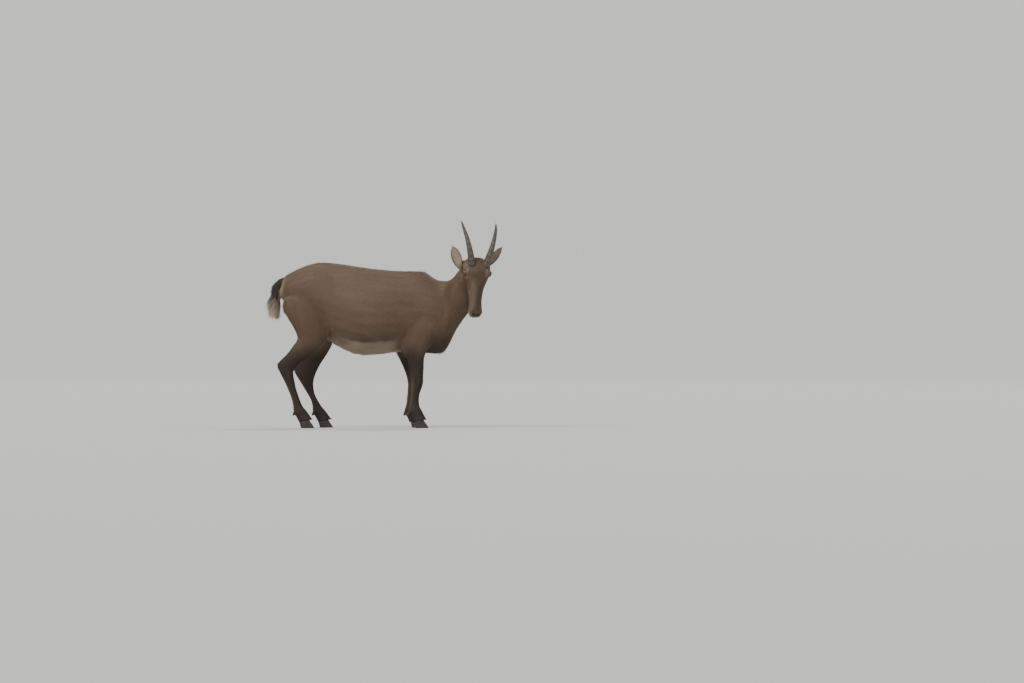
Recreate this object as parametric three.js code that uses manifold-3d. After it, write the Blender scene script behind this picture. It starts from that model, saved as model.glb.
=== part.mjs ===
// Alpine ibex doe, life size, standing on level ground with its head turned to look out to its right.
// Units are millimetres. +X is the way the body faces, +Y its left side, +Z up, and the ground is z = 0.
// Trunk, neck, head and legs are closed tubes through named stations. They are joined whole and then
// parted with thin cuts, so that neighbouring pieces meet face to face.
import * as THREE from "three";
import { mergeVertices } from "three/addons/utils/BufferGeometryUtils.js";
import Module from "manifold-3d";

const wasm = await Module();
wasm.setup();

// Driving sizes
const GAP = 0.3; // width of the cut between touching pieces
const SMOOTHED = 0.05; // slivers left by the cuts that are flatter than this are merged away
const FORE_TRACK = 82; // from the middle plane to the middle of each forefoot
const HIND_TRACK = 84;
const HORN_BASE_DEPTH = 40; // fore and aft, where the horn leaves the brow
const HORN_BASE_WIDTH = 39;
const HORN_RINGS = 9; // growth ridges up the horn
const EAR_LENGTH = 112;
const EAR_WIDTH = 50;
const EAR_SUNK = 8; // how far the ear starts inside the head
const EYE_RADIUS = 14.5;
const HOOF_LENGTH = 66;
const HOOF_FRONT = 40; // height of the hoof at the toe
const HOOF_BACK = 25; // and at the heel
const CLAW_WIDTH = 25;
const TOE_SLOPE = 0.62; // how far the toe leans back for each millimetre up
const HEEL_SLOPE = 0.3;
const CLEFT = 2.4; // the gap between the two claws of a foot
const DEWCLAW_RADIUS = 8;
const DEWCLAW_LONG = 18.5; // from its root to its tip
const TAIL_LOCK = 66; // the longest lock of hair on the tail

// How the head is held: the nose line points this far below level, the face is turned this far from
// square across the body towards the front, and the crown leans this far the same way.
const NOSE_DOWN = THREE.MathUtils.degToRad(78);
const HEAD_YAW = THREE.MathUtils.degToRad(15);
const HEAD_ROLL = THREE.MathUtils.degToRad(4);
const CROWN = new THREE.Vector3(462, -152, 821); // top of the brow, between the horns
const CROWN_IN_HEAD = new THREE.Vector3(10, 0, 44);

const COLOURS = {
  coat: 0x8f7558,
  leg: 0x574536,
  face: 0x8a6f55,
  tail: 0x33261d,
  horn: 0x6b5c4c,
  hoof: 0x2b2622,
  eye: 0x4a2d14,
};

// Numbers, curves and closed shells

// Uniform Catmull-Rom through a list of numbers, at place t from 0 to its last index.
function through(values, t) {
  const last = values.length - 1;
  const i = Math.min(Math.floor(t), last - 1);
  const f = t - i;
  const at = (k) => values[Math.max(0, Math.min(last, k))];
  const [a, b, c, d] = [at(i - 1), at(i), at(i + 1), at(i + 2)];
  return b + 0.5 * f * (c - a + f * (2 * a - 5 * b + 4 * c - d + f * (3 * (b - c) + d - a)));
}

// A smooth bump of height 1 at 0 that has died away by about 2.
const bump = (x) => Math.exp(-x * x);

// A power that keeps its sign, which squares or pinches an ellipse.
const bent = (x, power) => Math.sign(x) * Math.abs(x) ** power;

// A closed geometry through loops of points, with a pole point closing each end. Where mirrored is
// true the second half of each loop is split the other way, so both faces of a thin piece match.
function shell(loops, startPole, endPole, mirrored = false) {
  const sides = loops[0].length;
  const points = loops.flat().concat([startPole, endPole]);
  const faces = [];
  for (let i = 0; i + 1 < loops.length; i++)
    for (let j = 0; j < sides; j++) {
      const k = (j + 1) % sides;
      const [a, b] = [i * sides + j, i * sides + k];
      const [c, d] = [a + sides, b + sides];
      if (mirrored && j >= sides / 2) faces.push(a, b, c, b, d, c);
      else faces.push(a, b, d, a, d, c);
    }
  const [start, end] = [points.length - 2, points.length - 1];
  const top = (loops.length - 1) * sides;
  for (let j = 0; j < sides; j++) {
    const k = (j + 1) % sides;
    faces.push(k, j, start, top + j, top + k, end);
  }
  const geometry = new THREE.BufferGeometry().setFromPoints(points);
  geometry.setIndex(faces);
  return geometry;
}

const middle = (loop) =>
  loop.reduce((sum, p) => sum.add(p), new THREE.Vector3()).divideScalar(loop.length);

// Shrinking loops that round off an end of a tube, and the pole that closes it.
function roundEnd(loop, inner, depth, steps) {
  const centre = middle(loop);
  const out = centre.clone().sub(middle(inner)).normalize();
  const loops = [];
  for (let i = 1; i < steps; i++) {
    const angle = (Math.PI / 2) * (i / steps);
    loops.push(
      loop.map((p) =>
        p
          .clone()
          .sub(centre)
          .multiplyScalar(Math.cos(angle))
          .add(centre)
          .addScaledVector(out, depth * Math.sin(angle)),
      ),
    );
  }
  return { loops, pole: centre.clone().addScaledVector(out, depth) };
}

// A station of a tube is one cross-section: over and under are the outline's two edge points, as
// [x, z], half is its half width across, y its place from side to side, turn how far it is swung
// about the upright, skew how much wider it is below than above, and square how boxy it is.
const PLAIN = { y: 0, turn: 0, skew: 0, square: 2 };
const station = (over, under, half, more = {}) => ({
  ...PLAIN,
  ax: over[0],
  az: over[1],
  bx: under[0],
  bz: under[1],
  half,
  ...more,
});

// The section of a tube at place t: a function from an angle to a point.
function section(stations, t) {
  const s = {};
  for (const key of Object.keys(stations[0])) s[key] = through(stations.map((x) => x[key]), t);
  const centre = new THREE.Vector3((s.ax + s.bx) / 2, s.y, (s.az + s.bz) / 2);
  const up = new THREE.Vector3((s.ax - s.bx) / 2, 0, (s.az - s.bz) / 2);
  const across = new THREE.Vector3(-Math.sin(s.turn), Math.cos(s.turn), 0).multiplyScalar(s.half);
  return (angle) => {
    const high = bent(Math.sin(angle), 2 / s.square);
    const wide = bent(Math.cos(angle), 2 / s.square) * (1 - s.skew * high);
    return centre.clone().addScaledVector(up, high).addScaledVector(across, wide);
  };
}

// A closed tube through stations. swell(t, angle) is how far the skin is pushed out there.
function tube(stations, rings, sides, startDepth, endDepth, swell) {
  const last = stations.length - 1;
  const loops = [];
  for (let i = 0; i <= rings; i++) {
    const t = (last * i) / rings;
    const at = section(stations, t);
    const loop = [];
    for (let j = 0; j < sides; j++) {
      const angle = (2 * Math.PI * j) / sides;
      loop.push(at(angle));
    }
    const centre = middle(loop);
    if (swell)
      loop.forEach((p, j) => {
        const out = p.clone().sub(centre).normalize();
        p.addScaledVector(out, swell(t, (2 * Math.PI * j) / sides));
      });
    loops.push(loop);
  }
  const start = roundEnd(loops[0], loops[1], startDepth, 4);
  const end = roundEnd(loops[rings], loops[rings - 1], endDepth, 4);
  return shell([...start.loops.reverse(), ...loops, ...end.loops], start.pole, end.pole);
}

// Solids

// A manifold solid of a geometry, turned right side out.
function solid(geometry) {
  const bare = new THREE.BufferGeometry();
  bare.setAttribute("position", geometry.getAttribute("position").clone());
  if (geometry.index) bare.setIndex(geometry.index);
  const merged = mergeVertices(bare, 1e-4);
  const triVerts = new Uint32Array(merged.index.array);
  const vertProperties = new Float32Array(merged.attributes.position.array);
  const made = new wasm.Manifold(new wasm.Mesh({ numProp: 3, vertProperties, triVerts }));
  if (made.volume() > 0) return made;
  for (let i = 0; i < triVerts.length; i += 3)
    [triVerts[i + 1], triVerts[i + 2]] = [triVerts[i + 2], triVerts[i + 1]];
  return new wasm.Manifold(new wasm.Mesh({ numProp: 3, vertProperties, triVerts }));
}

const join = (solids) => solids.reduce((sum, s) => sum.add(s));

// A box solid centred on a place, with its thickness along normal. It is as wide as given on the
// level, across the normal, and as deep as given up the slope. Over a level cut, wide runs along X.
function block(place, normal, wide, deep, thick) {
  const n = normal.clone().normalize();
  const level = Math.abs(n.z) < 0.8 ? new THREE.Vector3(0, 0, 1) : new THREE.Vector3(0, 1, 0);
  const side = level.cross(n).normalize();
  const axes = new THREE.Matrix4().makeBasis(side, n.clone().cross(side), n).setPosition(place);
  return solid(new THREE.BoxGeometry(wide, deep, thick).applyMatrix4(axes));
}

// A ball squashed to three radii, turned and placed by a matrix.
function ball(radii, place, matrix, across = 20, down = 14) {
  const geometry = new THREE.SphereGeometry(1, across, down);
  geometry.scale(...radii).translate(...place);
  if (matrix) geometry.applyMatrix4(matrix);
  return solid(geometry);
}

// The largest closed piece of a solid.
const largest = (s) => s.decompose().reduce((a, b) => (b.volume() > a.volume() ? b : a));

// Trunk and neck, one tube from the rump to the back of the head

const degrees = THREE.MathUtils.degToRad;
const TRUNK = [
  station([-490, 688], [-474, 604], 52),
  station([-472, 727], [-452, 556], 90),
  station([-428, 757], [-410, 520], 114),
  station([-352, 787], [-345, 486], 130, { skew: 0.04 }),
  station([-288, 797], [-283, 436], 137, { skew: 0.06 }),
  station([-206, 791], [-212, 386], 144, { skew: 0.12 }),
  station([-110, 776], [-118, 349], 156, { skew: 0.14 }),
  station([-14, 764], [-18, 351], 159, { skew: 0.12 }),
  station([78, 757], [66, 362], 141, { skew: 0.12 }),
  station([160, 756], [150, 364], 116, { skew: 0.14 }),
  station([203, 751], [216, 357], 104, { skew: 0.12 }),
  station([236, 731], [276, 357], 97, { skew: 0.06 }),
  station([262, 716], [304, 376], 90),
  station([289, 710], [327, 414], 84),
  station([318, 713], [352, 468], 78, { y: -12, turn: degrees(-12) }),
  station([345, 728], [377, 514], 72, { y: -33, turn: degrees(-30) }),
  station([369, 750], [403, 556], 66, { y: -60, turn: degrees(-46) }),
  station([398, 780], [430, 604], 58, { y: -86, turn: degrees(-58) }),
  station([430, 800], [456, 660], 48, { y: -104, turn: degrees(-66) }),
];
const HIP = { place: 3.4, angle: degrees(52) };
const HOLLOW = { place: 4.9, angle: degrees(38) };
const trunkSwell = (t, angle) => {
  const high = Math.abs(Math.PI / 2 - angle) > Math.PI ? angle - 2 * Math.PI : angle;
  const side = Math.PI / 2 - Math.abs(Math.PI / 2 - high);
  const hip = 9 * bump((t - HIP.place) / 0.5) * bump((side - HIP.angle) / 0.3);
  const hollow = -9 * bump((t - HOLLOW.place) / 0.7) * bump((side - HOLLOW.angle) / 0.4);
  return hip + hollow;
};
const trunkSolid = (grow) =>
  solid(tube(TRUNK, 37, 24, 14 + grow, 12 + grow, (t, angle) => grow + trunkSwell(t, angle)));

// Legs. Each goes down from inside the trunk, with its front and back edges as outline points.

const foreleg = (side, back) => {
  const leg = (front, rear, half, out = 0) =>
    station(
      [front[0] - back * shift(front[1]), front[1]],
      [rear[0] - back * shift(rear[1]), rear[1]],
      half,
      { y: side * (FORE_TRACK + out) },
    );
  // The leg that stands back is set back most at the forearm.
  const shift = (z) => 19 + 17 * bump((z - 330) / 60);
  return [
    leg([206, 640], [126, 655], 22, -26),
    leg([244, 560], [92, 585], 36, -18),
    leg([262, 490], [76, 505], 44, -8),
    leg([252, 425], [70, 430], 42, -2),
    leg([218, 378], [84, 375], 36),
    leg([201, 335], [111, 332], 31),
    leg([198, 290], [124, 290], 27),
    leg([195, 248], [131, 248], 24),
    leg([194, 216], [135, 214], 24),
    leg([187, 190], [134, 188], 22.5),
    leg([177, 160], [132, 160], 18.5),
    leg([175, 128], [129, 126], 17.5),
    leg([178, 104], [123, 98], 20),
    leg([187, 88], [117, 76], 23.5),
    leg([198, 66], [131, 50], 21.5),
    leg([210, 45], [142, 27], 25, 0),
  ];
};
const HIND_NEAR = [
  [[-310, 705], [-430, 690], 36, -20],
  [[-262, 620], [-474, 628], 52, -10],
  [[-246, 535], [-482, 572], 60, -4],
  [[-252, 465], [-452, 518], 58, 0],
  [[-272, 412], [-424, 468], 50, 2],
  [[-312, 370], [-413, 432], 40, 3],
  [[-362, 334], [-434, 393], 32, 2],
  [[-402, 303], [-466, 351], 27, 1],
  [[-424, 276], [-505, 312], 25, 0],
  [[-426, 252], [-502, 284], 24, 0],
  [[-421, 222], [-481, 240], 20.5, 0],
  [[-413, 186], [-461, 198], 17.5, 0],
  [[-397, 138], [-441, 148], 17, 0],
  [[-383, 106], [-431, 106], 19.5, 0],
  [[-368, 88], [-429, 77], 23.5, 0],
  [[-352, 66], [-414, 50], 21.5, 0],
  [[-338, 45], [-402, 27], 25, 0],
];
const HIND_FAR = [
  [[-300, 700], [-425, 690], 36, -20],
  [[-244, 615], [-468, 620], 52, -10],
  [[-222, 525], [-468, 552], 60, -4],
  [[-226, 452], [-430, 498], 58, 0],
  [[-247, 397], [-396, 444], 50, 2],
  [[-272, 352], [-382, 402], 40, 3],
  [[-299, 312], [-392, 362], 32, 2],
  [[-318, 276], [-410, 324], 27, 1],
  [[-331, 244], [-433, 288], 25, 0],
  [[-337, 218], [-424, 256], 24, 0],
  [[-336, 190], [-400, 216], 20.5, 0],
  [[-329, 158], [-376, 176], 17.5, 0],
  [[-310, 122], [-353, 136], 17, 0],
  [[-296, 100], [-344, 102], 19.5, 0],
  [[-283, 86], [-343, 75], 23.5, 0],
  [[-267, 65], [-328, 49], 21.5, 0],
  [[-253, 44], [-316, 26], 25, 0],
];
const hindleg = (side, rows) =>
  rows.map(([front, rear, half, out]) =>
    station(front, rear, half, { y: side * (HIND_TRACK + out) }),
  );

const LEGS = [
  { name: "fore_right", side: -1, stations: foreleg(-1, 0), fore: true },
  { name: "fore_left", side: 1, stations: foreleg(1, 1), fore: true },
  { name: "hind_right", side: -1, stations: hindleg(-1, HIND_NEAR), fore: false },
  { name: "hind_left", side: 1, stations: hindleg(1, HIND_FAR), fore: false },
];

// Where the foot starts: the hoof's top edge, sloping down to the heel.
for (const leg of LEGS) {
  const foot = leg.stations.at(-1);
  leg.footX = foot.ax;
  leg.y = foot.y;
  leg.coronet = new THREE.Vector3((foot.ax + foot.bx) / 2, foot.y, (foot.az + foot.bz) / 2 - 1);
  leg.coronetUp = new THREE.Vector3(-(foot.az - foot.bz), 0, foot.ax - foot.bx).normalize();
  leg.solid = solid(tube(leg.stations, 30, 14, 30, 8));
}

// One claw of a foot, as loops from the sole up. The outer wall is round and the cleft side is flat.
function claw(toeX, footY, outwards) {
  const rows = [
    [0, 0.93],
    [2.5, 1],
    [0.5 * HOOF_BACK, 1],
    [HOOF_BACK, 0.97],
    [HOOF_FRONT + 10, 0.9],
  ];
  const sides = 12;
  const loops = rows.map(([z, scale]) => {
    const toe = toeX - z * TOE_SLOPE;
    const heel = toeX - HOOF_LENGTH - z * HEEL_SLOPE;
    const [midX, halfX] = [(toe + heel) / 2, ((toe - heel) / 2) * scale];
    const halfY = (CLAW_WIDTH / 2) * scale;
    const midY = footY + outwards * (CLEFT / 2 + CLAW_WIDTH / 2);
    return Array.from({ length: sides }, (_, j) => {
      const angle = (2 * Math.PI * j) / sides;
      const along = Math.cos(angle);
      const across = bent(Math.sin(angle), Math.sin(angle) > 0 ? 0.85 : 0.45);
      const pointed = 1 - 0.42 * ((1 + along) / 2) ** 3;
      const toeIn = -(1 - pointed) * halfY * 0.9;
      const y = midY + outwards * (across * halfY * pointed + toeIn);
      return new THREE.Vector3(midX + along * halfX, y, z);
    });
  });
  return solid(shell(loops, middle(loops[0]), middle(loops.at(-1))));
}

// A dewclaw, a short blunt cone behind the fetlock.
function dewclaw(leg, outwards) {
  const fetlock = leg.stations.at(-3);
  const root = new THREE.Vector3(fetlock.bx + 6, leg.y + outwards * 12, fetlock.bz - 5);
  const way = new THREE.Vector3(-0.5, outwards * 0.25, -0.83).normalize();
  const side = new THREE.Vector3(0, 1, 0).cross(way).normalize();
  const across = way.clone().cross(side);
  const rows = [
    [-6, DEWCLAW_RADIUS],
    [6, 1.025 * DEWCLAW_RADIUS],
    [0.81 * DEWCLAW_LONG, 0.575 * DEWCLAW_RADIUS],
  ];
  const loops = rows.map(([along, radius]) =>
    Array.from({ length: 8 }, (_, j) => {
      const angle = (Math.PI * j) / 4;
      return root
        .clone()
        .addScaledVector(way, along)
        .addScaledVector(side, radius * Math.sin(angle))
        .addScaledVector(across, radius * 0.85 * Math.cos(angle));
    }),
  );
  const tip = root.clone().addScaledVector(way, DEWCLAW_LONG);
  return { solid: solid(shell(loops, middle(loops[0]), tip)), root, way };
}

// Head, in its own frame: +X from poll to nose, +Z out of the brow, +Y the animal's left

const headMatrix = new THREE.Matrix4()
  .makeRotationY(HEAD_ROLL)
  .multiply(new THREE.Matrix4().makeRotationZ(HEAD_YAW - Math.PI / 2))
  .multiply(new THREE.Matrix4().makeRotationY(NOSE_DOWN));
headMatrix.setPosition(CROWN.clone().sub(CROWN_IN_HEAD.clone().applyMatrix4(headMatrix)));
const inHead = (x, y, z) => new THREE.Vector3(x, y, z).applyMatrix4(headMatrix);

const HEAD = [
  station([16, 16], [8, -66], 46),
  station([26, 36], [20, -94], 57, { square: 2.1 }),
  station([38, 47], [34, -104], 62, { square: 2.2 }),
  station([68, 50], [66, -108], 63, { square: 2.2, skew: -0.04 }),
  station([98, 43], [96, -101], 61, { square: 2.2, skew: -0.08 }),
  station([128, 35], [126, -90], 50, { square: 2.2, skew: -0.06 }),
  station([160, 30], [158, -74], 40, { square: 2.2 }),
  station([192, 26], [190, -60], 33, { square: 2.3 }),
  station([222, 23], [220, -52], 30, { square: 2.3 }),
  station([250, 20], [248, -49], 32, { square: 2.3 }),
  station([272, 13], [270, -47], 33, { square: 2.3 }),
  station([286, 2], [284, -42], 28, { square: 2.2 }),
];
const MUZZLE_DEPTH = 11; // how far the rounded lips stand out past the last station

// The half width of the head at a distance from the poll and a height in its frame.
function headHalf(x, z) {
  let [low, high] = [0, HEAD.length - 1];
  const keys = (t) => ["ax", "az", "bz", "half", "square"].map((k) => through(HEAD.map((s) => s[k]), t));
  for (let i = 0; i < 24; i++) {
    const mid = (low + high) / 2;
    if (keys(mid)[0] < x) low = mid;
    else high = mid;
  }
  const [, top, under, half, square] = keys(low);
  const share = Math.min(0.98, Math.abs((2 * z - top - under) / (top - under)));
  return half * (1 - share ** square) ** (1 / square);
}

const EYE = { x: 84, y: 57, z: 15 };
const EYE_WAY = { x: 0.28, y: 0.87, z: 0.4 };
const LID_WALL = 2.6; // how thick the lids are over the eyeball
const SLIT_LONG = degrees(54); // half the opening between the lids, corner to corner
const SLIT_TALL = degrees(36);

// An almond of points round the way that an eye looks, at a distance from the eye's middle, with
// the angles of the slit made wider by spread.
function almond(side, distance, spread, steps) {
  const centre = new THREE.Vector3(EYE.x, side * EYE.y, EYE.z);
  const out = new THREE.Vector3(EYE_WAY.x, side * EYE_WAY.y, EYE_WAY.z).normalize();
  const long = new THREE.Vector3(1, 0, -0.3);
  long.addScaledVector(out, -long.dot(out)).normalize();
  const tall = out.clone().cross(long);
  return Array.from({ length: steps }, (_, i) => {
    const angle = (2 * Math.PI * i) / steps;
    const along = (SLIT_LONG + spread) * bent(Math.cos(angle), 1.15);
    const across = (SLIT_TALL + spread) * Math.sin(angle);
    return out
      .clone()
      .multiplyScalar(Math.cos(along) * Math.cos(across))
      .addScaledVector(long, Math.sin(along))
      .addScaledVector(tall, Math.sin(across))
      .normalize()
      .multiplyScalar(distance)
      .add(centre);
  });
}

// The opening between the lids, an almond funnel out of the eye's middle.
function slit(side) {
  const loops = [almond(side, 5, 0, 14), almond(side, EYE_RADIUS + LID_WALL + 8, degrees(3), 14)];
  const geometry = shell(loops, middle(loops[0]), middle(loops[1]));
  return solid(geometry.applyMatrix4(headMatrix));
}

// A thin round groove along a path of points in the head's frame.
function groove(points, radius) {
  const curve = new THREE.CatmullRomCurve3(points);
  const round = new THREE.Shape().absarc(0, 0, radius, 0, 2 * Math.PI);
  const geometry = new THREE.ExtrudeGeometry(round, {
    steps: 12,
    curveSegments: 2,
    extrudePath: curve,
    bevelEnabled: false,
  });
  return solid(geometry.applyMatrix4(headMatrix));
}

// The line of the mouth, from one corner round the front of the lips to the other.
function mouthLine() {
  const cheeks = [236, 248, 260, 272, 282].map((x) => [x, -27 + 0.09 * (x - 236)]);
  const left = cheeks.map(([x, z]) => new THREE.Vector3(x, headHalf(x, z) - 0.2, z));
  const front = [
    new THREE.Vector3(292.5, 15, -22.5),
    new THREE.Vector3(296.3, 0, -22),
    new THREE.Vector3(292.5, -15, -22.5),
  ];
  const right = left.map((p) => new THREE.Vector3(p.x, -p.y, p.z)).reverse();
  return groove([...left, ...front, ...right], 1.4);
}

const headSolid = (grow) => {
  const lump = (radii, place) =>
    ball(
      radii.map((r) => r + grow),
      place,
      headMatrix,
      12,
      7,
    );
  const skull = tube(HEAD, 22, 20, 12 + grow, MUZZLE_DEPTH + grow, () => grow);
  const parts = [solid(skull.applyMatrix4(headMatrix))];
  for (const side of [1, -1]) {
    parts.push(lump([31, 17, 23], [80, side * 51, 15])); // brow and eye socket
    parts.push(lump([44, 14, 26], [112, side * 40, -46])); // cheek muscle
    parts.push(lump([16, 9, 10], [271, side * 20, 2])); // wing of the nostril
    parts.push(lump([24, 18, 20], [42, side * 54, -22])); // root of the ear
  }
  parts.push(lump([17, 19, 10], [270, 0, -43])); // chin
  parts.push(lump([26, 30, 8], [42, 0, 42])); // frontal boss between the horns
  return join(parts);
};

// A horn, its middle line in the head's frame from inside the brow to the tip.
function horn(side) {
  const curve = new THREE.CatmullRomCurve3([
    new THREE.Vector3(54, side * 29, 24),
    new THREE.Vector3(36, side * 37, 44),
    new THREE.Vector3(-14, side * 52, 66),
    new THREE.Vector3(-69, side * 66, 67),
    new THREE.Vector3(-122, side * 79, 49),
    new THREE.Vector3(-164, side * 86, 24),
  ]);
  const rings = 24;
  const sides = 10;
  const loops = [];
  for (let i = 0; i < rings; i++) {
    const t = i / rings;
    const centre = curve.getPoint(t);
    const way = curve.getTangent(t);
    const across = new THREE.Vector3(0, 1, 0).addScaledVector(way, -way.y).normalize();
    const fore = across.clone().cross(way).normalize();
    const taper = (1 - t) ** 0.58 * (1 - 0.12 * t) + 0.012;
    const ridge = 1 + 0.05 * (1 - t) * Math.max(0, Math.cos(2 * Math.PI * HORN_RINGS * t ** 0.9)) ** 2;
    loops.push(
      Array.from({ length: sides }, (_, j) => {
        const angle = (2 * Math.PI * j) / sides;
        return centre
          .clone()
          .addScaledVector(fore, (HORN_BASE_DEPTH / 2) * taper * ridge * Math.cos(angle))
          .addScaledVector(across, (HORN_BASE_WIDTH / 2) * taper * Math.sin(angle));
      }),
    );
  }
  const geometry = shell(loops, middle(loops[0]), curve.getPoint(1)).applyMatrix4(headMatrix);
  return solid(geometry);
}

// An ear, a leaf folded into a cup. Its loops are half rings, solid at the root and hollow beyond.
const EAR_HALF_WIDTH = [0.5, 0.78, 0.97, 1, 0.87, 0.58, 0.07].map((v) => (v * EAR_WIDTH) / 2);
const EAR_FOLD = [14, 19, 19, 15, 10.5, 6, 2.4]; // how deep the fold is
const EAR_HOLLOW = [0.02, 0.4, 0.8, 0.76, 0.68, 0.5, 0.3]; // the share of that depth left open
function ear(root, way, mouth) {
  const out = mouth.clone().addScaledVector(way, -mouth.dot(way)).normalize();
  const across = way.clone().cross(out);
  const rings = 9;
  const half = 7;
  const loops = [];
  for (let i = 0; i <= rings; i++) {
    const u = i / rings;
    const width = through(EAR_HALF_WIDTH, 6 * u);
    const fold = through(EAR_FOLD, 6 * u);
    const hollow = fold * through(EAR_HOLLOW, 6 * u);
    const centre = root.clone().addScaledVector(way, u * EAR_LENGTH).addScaledVector(out, 9 - 9 * u * u);
    const place = (angle, wide, deep) =>
      centre
        .clone()
        .addScaledVector(across, wide * Math.sin(angle))
        .addScaledVector(out, -deep * Math.cos(angle));
    const turns = Array.from({ length: half }, (_, j) => Math.PI * (j / (half - 1) - 0.5));
    const outer = turns.map((angle) => place(angle, width, fold));
    const inner = turns.map((angle) => place(-angle, width * 0.9, hollow));
    loops.push([...outer, ...inner]);
  }
  return solid(shell(loops, middle(loops[0]), middle(loops.at(-1)), true));
}

// Each ear: its root in the head's frame, and the ways that it points and opens in the body's frame.
const EARS = [
  {
    name: "ear_right",
    root: [50, -74, -26],
    way: new THREE.Vector3(-0.34, 0.08, 0.93),
    mouth: new THREE.Vector3(-0.35, -0.93, 0.05),
  },
  {
    name: "ear_left",
    root: [26, 60, -26],
    way: new THREE.Vector3(0.66, 0.08, 0.75),
    mouth: new THREE.Vector3(0.75, -0.6, -0.25),
  },
];

// A lock of hair: a flat tapered blade from a root along a way, curving towards a second way.
function lock(root, way, bend, flat, length, width, thick) {
  const rings = 3;
  const loops = [];
  for (let i = 0; i < rings; i++) {
    const u = i / rings;
    const at = way
      .clone()
      .multiplyScalar(u * length)
      .addScaledVector(bend, u * u * length * 0.45)
      .add(root);
    const taper = (1 - u ** 1.7) * (0.72 + 1.1 * u * (1 - u));
    const across = flat.clone().cross(way).normalize();
    loops.push(
      Array.from({ length: 4 }, (_, j) => {
        const angle = (Math.PI * j) / 2;
        return at
          .clone()
          .addScaledVector(across, (width / 2) * taper * Math.cos(angle))
          .addScaledVector(flat, (thick / 2) * (0.35 + 0.65 * taper) * Math.sin(angle));
      }),
    );
  }
  const tip = way.clone().multiplyScalar(length).addScaledVector(bend, length * 0.45).add(root);
  return solid(shell(loops, middle(loops[0]), tip));
}

// The tail: a short flat dock hanging behind the rump, with locks down its back, sides and end.
const TAIL = [
  station([-458, 728], [-452, 698], 22),
  station([-492, 716], [-472, 680], 24),
  station([-520, 692], [-484, 656], 24),
  station([-531, 658], [-494, 630], 23),
  station([-534, 626], [-503, 608], 20),
  station([-531, 602], [-508, 594], 14),
];
let seed = 7;
const random = () => {
  seed = (seed * 16807) % 2147483647;
  return seed / 2147483647;
};
function tailLocks() {
  const locks = [];
  const rows = 5;
  for (let row = 0; row < rows; row++) {
    const t = 1.3 + (3.6 * row) / (rows - 1);
    const at = section(TAIL, t);
    const next = section(TAIL, Math.min(5, t + 0.3));
    const centre = at(0).clone().add(at(Math.PI)).multiplyScalar(0.5);
    const onward = next(0).clone().add(next(Math.PI)).multiplyScalar(0.5).sub(centre).normalize();
    const last = row === rows - 1;
    const count = last ? 7 : 3;
    for (let k = 0; k < count; k++) {
      const turn = last ? 2 * Math.PI : Math.PI;
      const angle = (turn * (k + (row % 2 ? 0.35 : 0.6))) / count;
      const flat = at(angle).clone().sub(centre).normalize();
      const place = centre.clone().lerp(at(angle), 0.7);
      const way = onward
        .clone()
        .addScaledVector(flat, last ? 0.25 + 0.35 * random() : 0.1 + 0.08 * random())
        .normalize();
      const long = TAIL_LOCK * (0.6 + 0.1 * row) * (0.85 + 0.3 * random());
      locks.push(lock(place, way, new THREE.Vector3(0, 0, -0.3), flat, long, 22, 5));
    }
  }
  return locks;
}

// Joining, and parting into pieces

const cuts = [];
const part = (place, normal, wide, deep) => cuts.push(block(place, normal, wide, deep, GAP));

// The neck is parted from the trunk in front of the withers, and from the head behind the jaw.
const NECK_ROOT = { place: new THREE.Vector3(256, 0, 545), way: new THREE.Vector3(0.975, 0, 0.2) };
const HEAD_ROOT = { place: new THREE.Vector3(366, -38, 640), way: new THREE.Vector3(0.6, -0.8, 0) };
part(NECK_ROOT.place, NECK_ROOT.way, 340, 440);
part(HEAD_ROOT.place, HEAD_ROOT.way, 215, 400);

const LEVEL = new THREE.Vector3(0, 0, 1);
const ELBOW_CUT = 347; // height where the foreleg leaves the body
const KNEE_CUT = 172; // and where it is parted below the knee
const FAR_SET_BACK = 30; // how far behind the near foreleg the far one leaves the body
const HAUNCH_X = -358; // the cut across the haunch goes through this place and slopes with the thigh
const HAUNCH_Z = 440;
const HAUNCH_WAY = new THREE.Vector3(0.372, 0, 0.928);
const HOCK_ROW = 10; // the station of a hind leg where it is parted below the hock
for (const leg of LEGS) {
  if (leg.fore) {
    const setBack = leg.side > 0 ? FAR_SET_BACK : 0;
    part(new THREE.Vector3(150 - setBack, leg.y, ELBOW_CUT), LEVEL, 170, 130);
    part(new THREE.Vector3(158, leg.y, KNEE_CUT), LEVEL, 130, 90);
  } else {
    part(new THREE.Vector3(HAUNCH_X, leg.y, HAUNCH_Z), HAUNCH_WAY, 252, 158);
    const hock = leg.stations[HOCK_ROW];
    const shank = new THREE.Vector3(-(hock.az - hock.bz), 0, hock.ax - hock.bx);
    part(new THREE.Vector3((hock.ax + hock.bx) / 2, leg.y, (hock.az + hock.bz) / 2), shank, 110, 90);
  }
}

const eyes = [-1, 1].map((side) => inHead(EYE.x, side * EYE.y, EYE.z));
const socket = (place, radius) =>
  solid(new THREE.SphereGeometry(radius, 16, 10).translate(place.x, place.y, place.z));
const nostril = (side) => {
  const turn = new THREE.Matrix4().makeRotationZ(side * -0.5).setPosition(281, side * 13.5, 2);
  return ball([9, 3.4, 5], [0, 0, 0], headMatrix.clone().multiply(turn), 9, 6);
};

let head = join([headSolid(0), ...eyes.map((place) => socket(place, EYE_RADIUS + LID_WALL))]);
for (const side of [-1, 1]) head = head.subtract(slit(side));
for (const place of eyes) head = head.subtract(socket(place, EYE_RADIUS + GAP));
head = head.subtract(mouthLine()).subtract(nostril(1)).subtract(nostril(-1));

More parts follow.
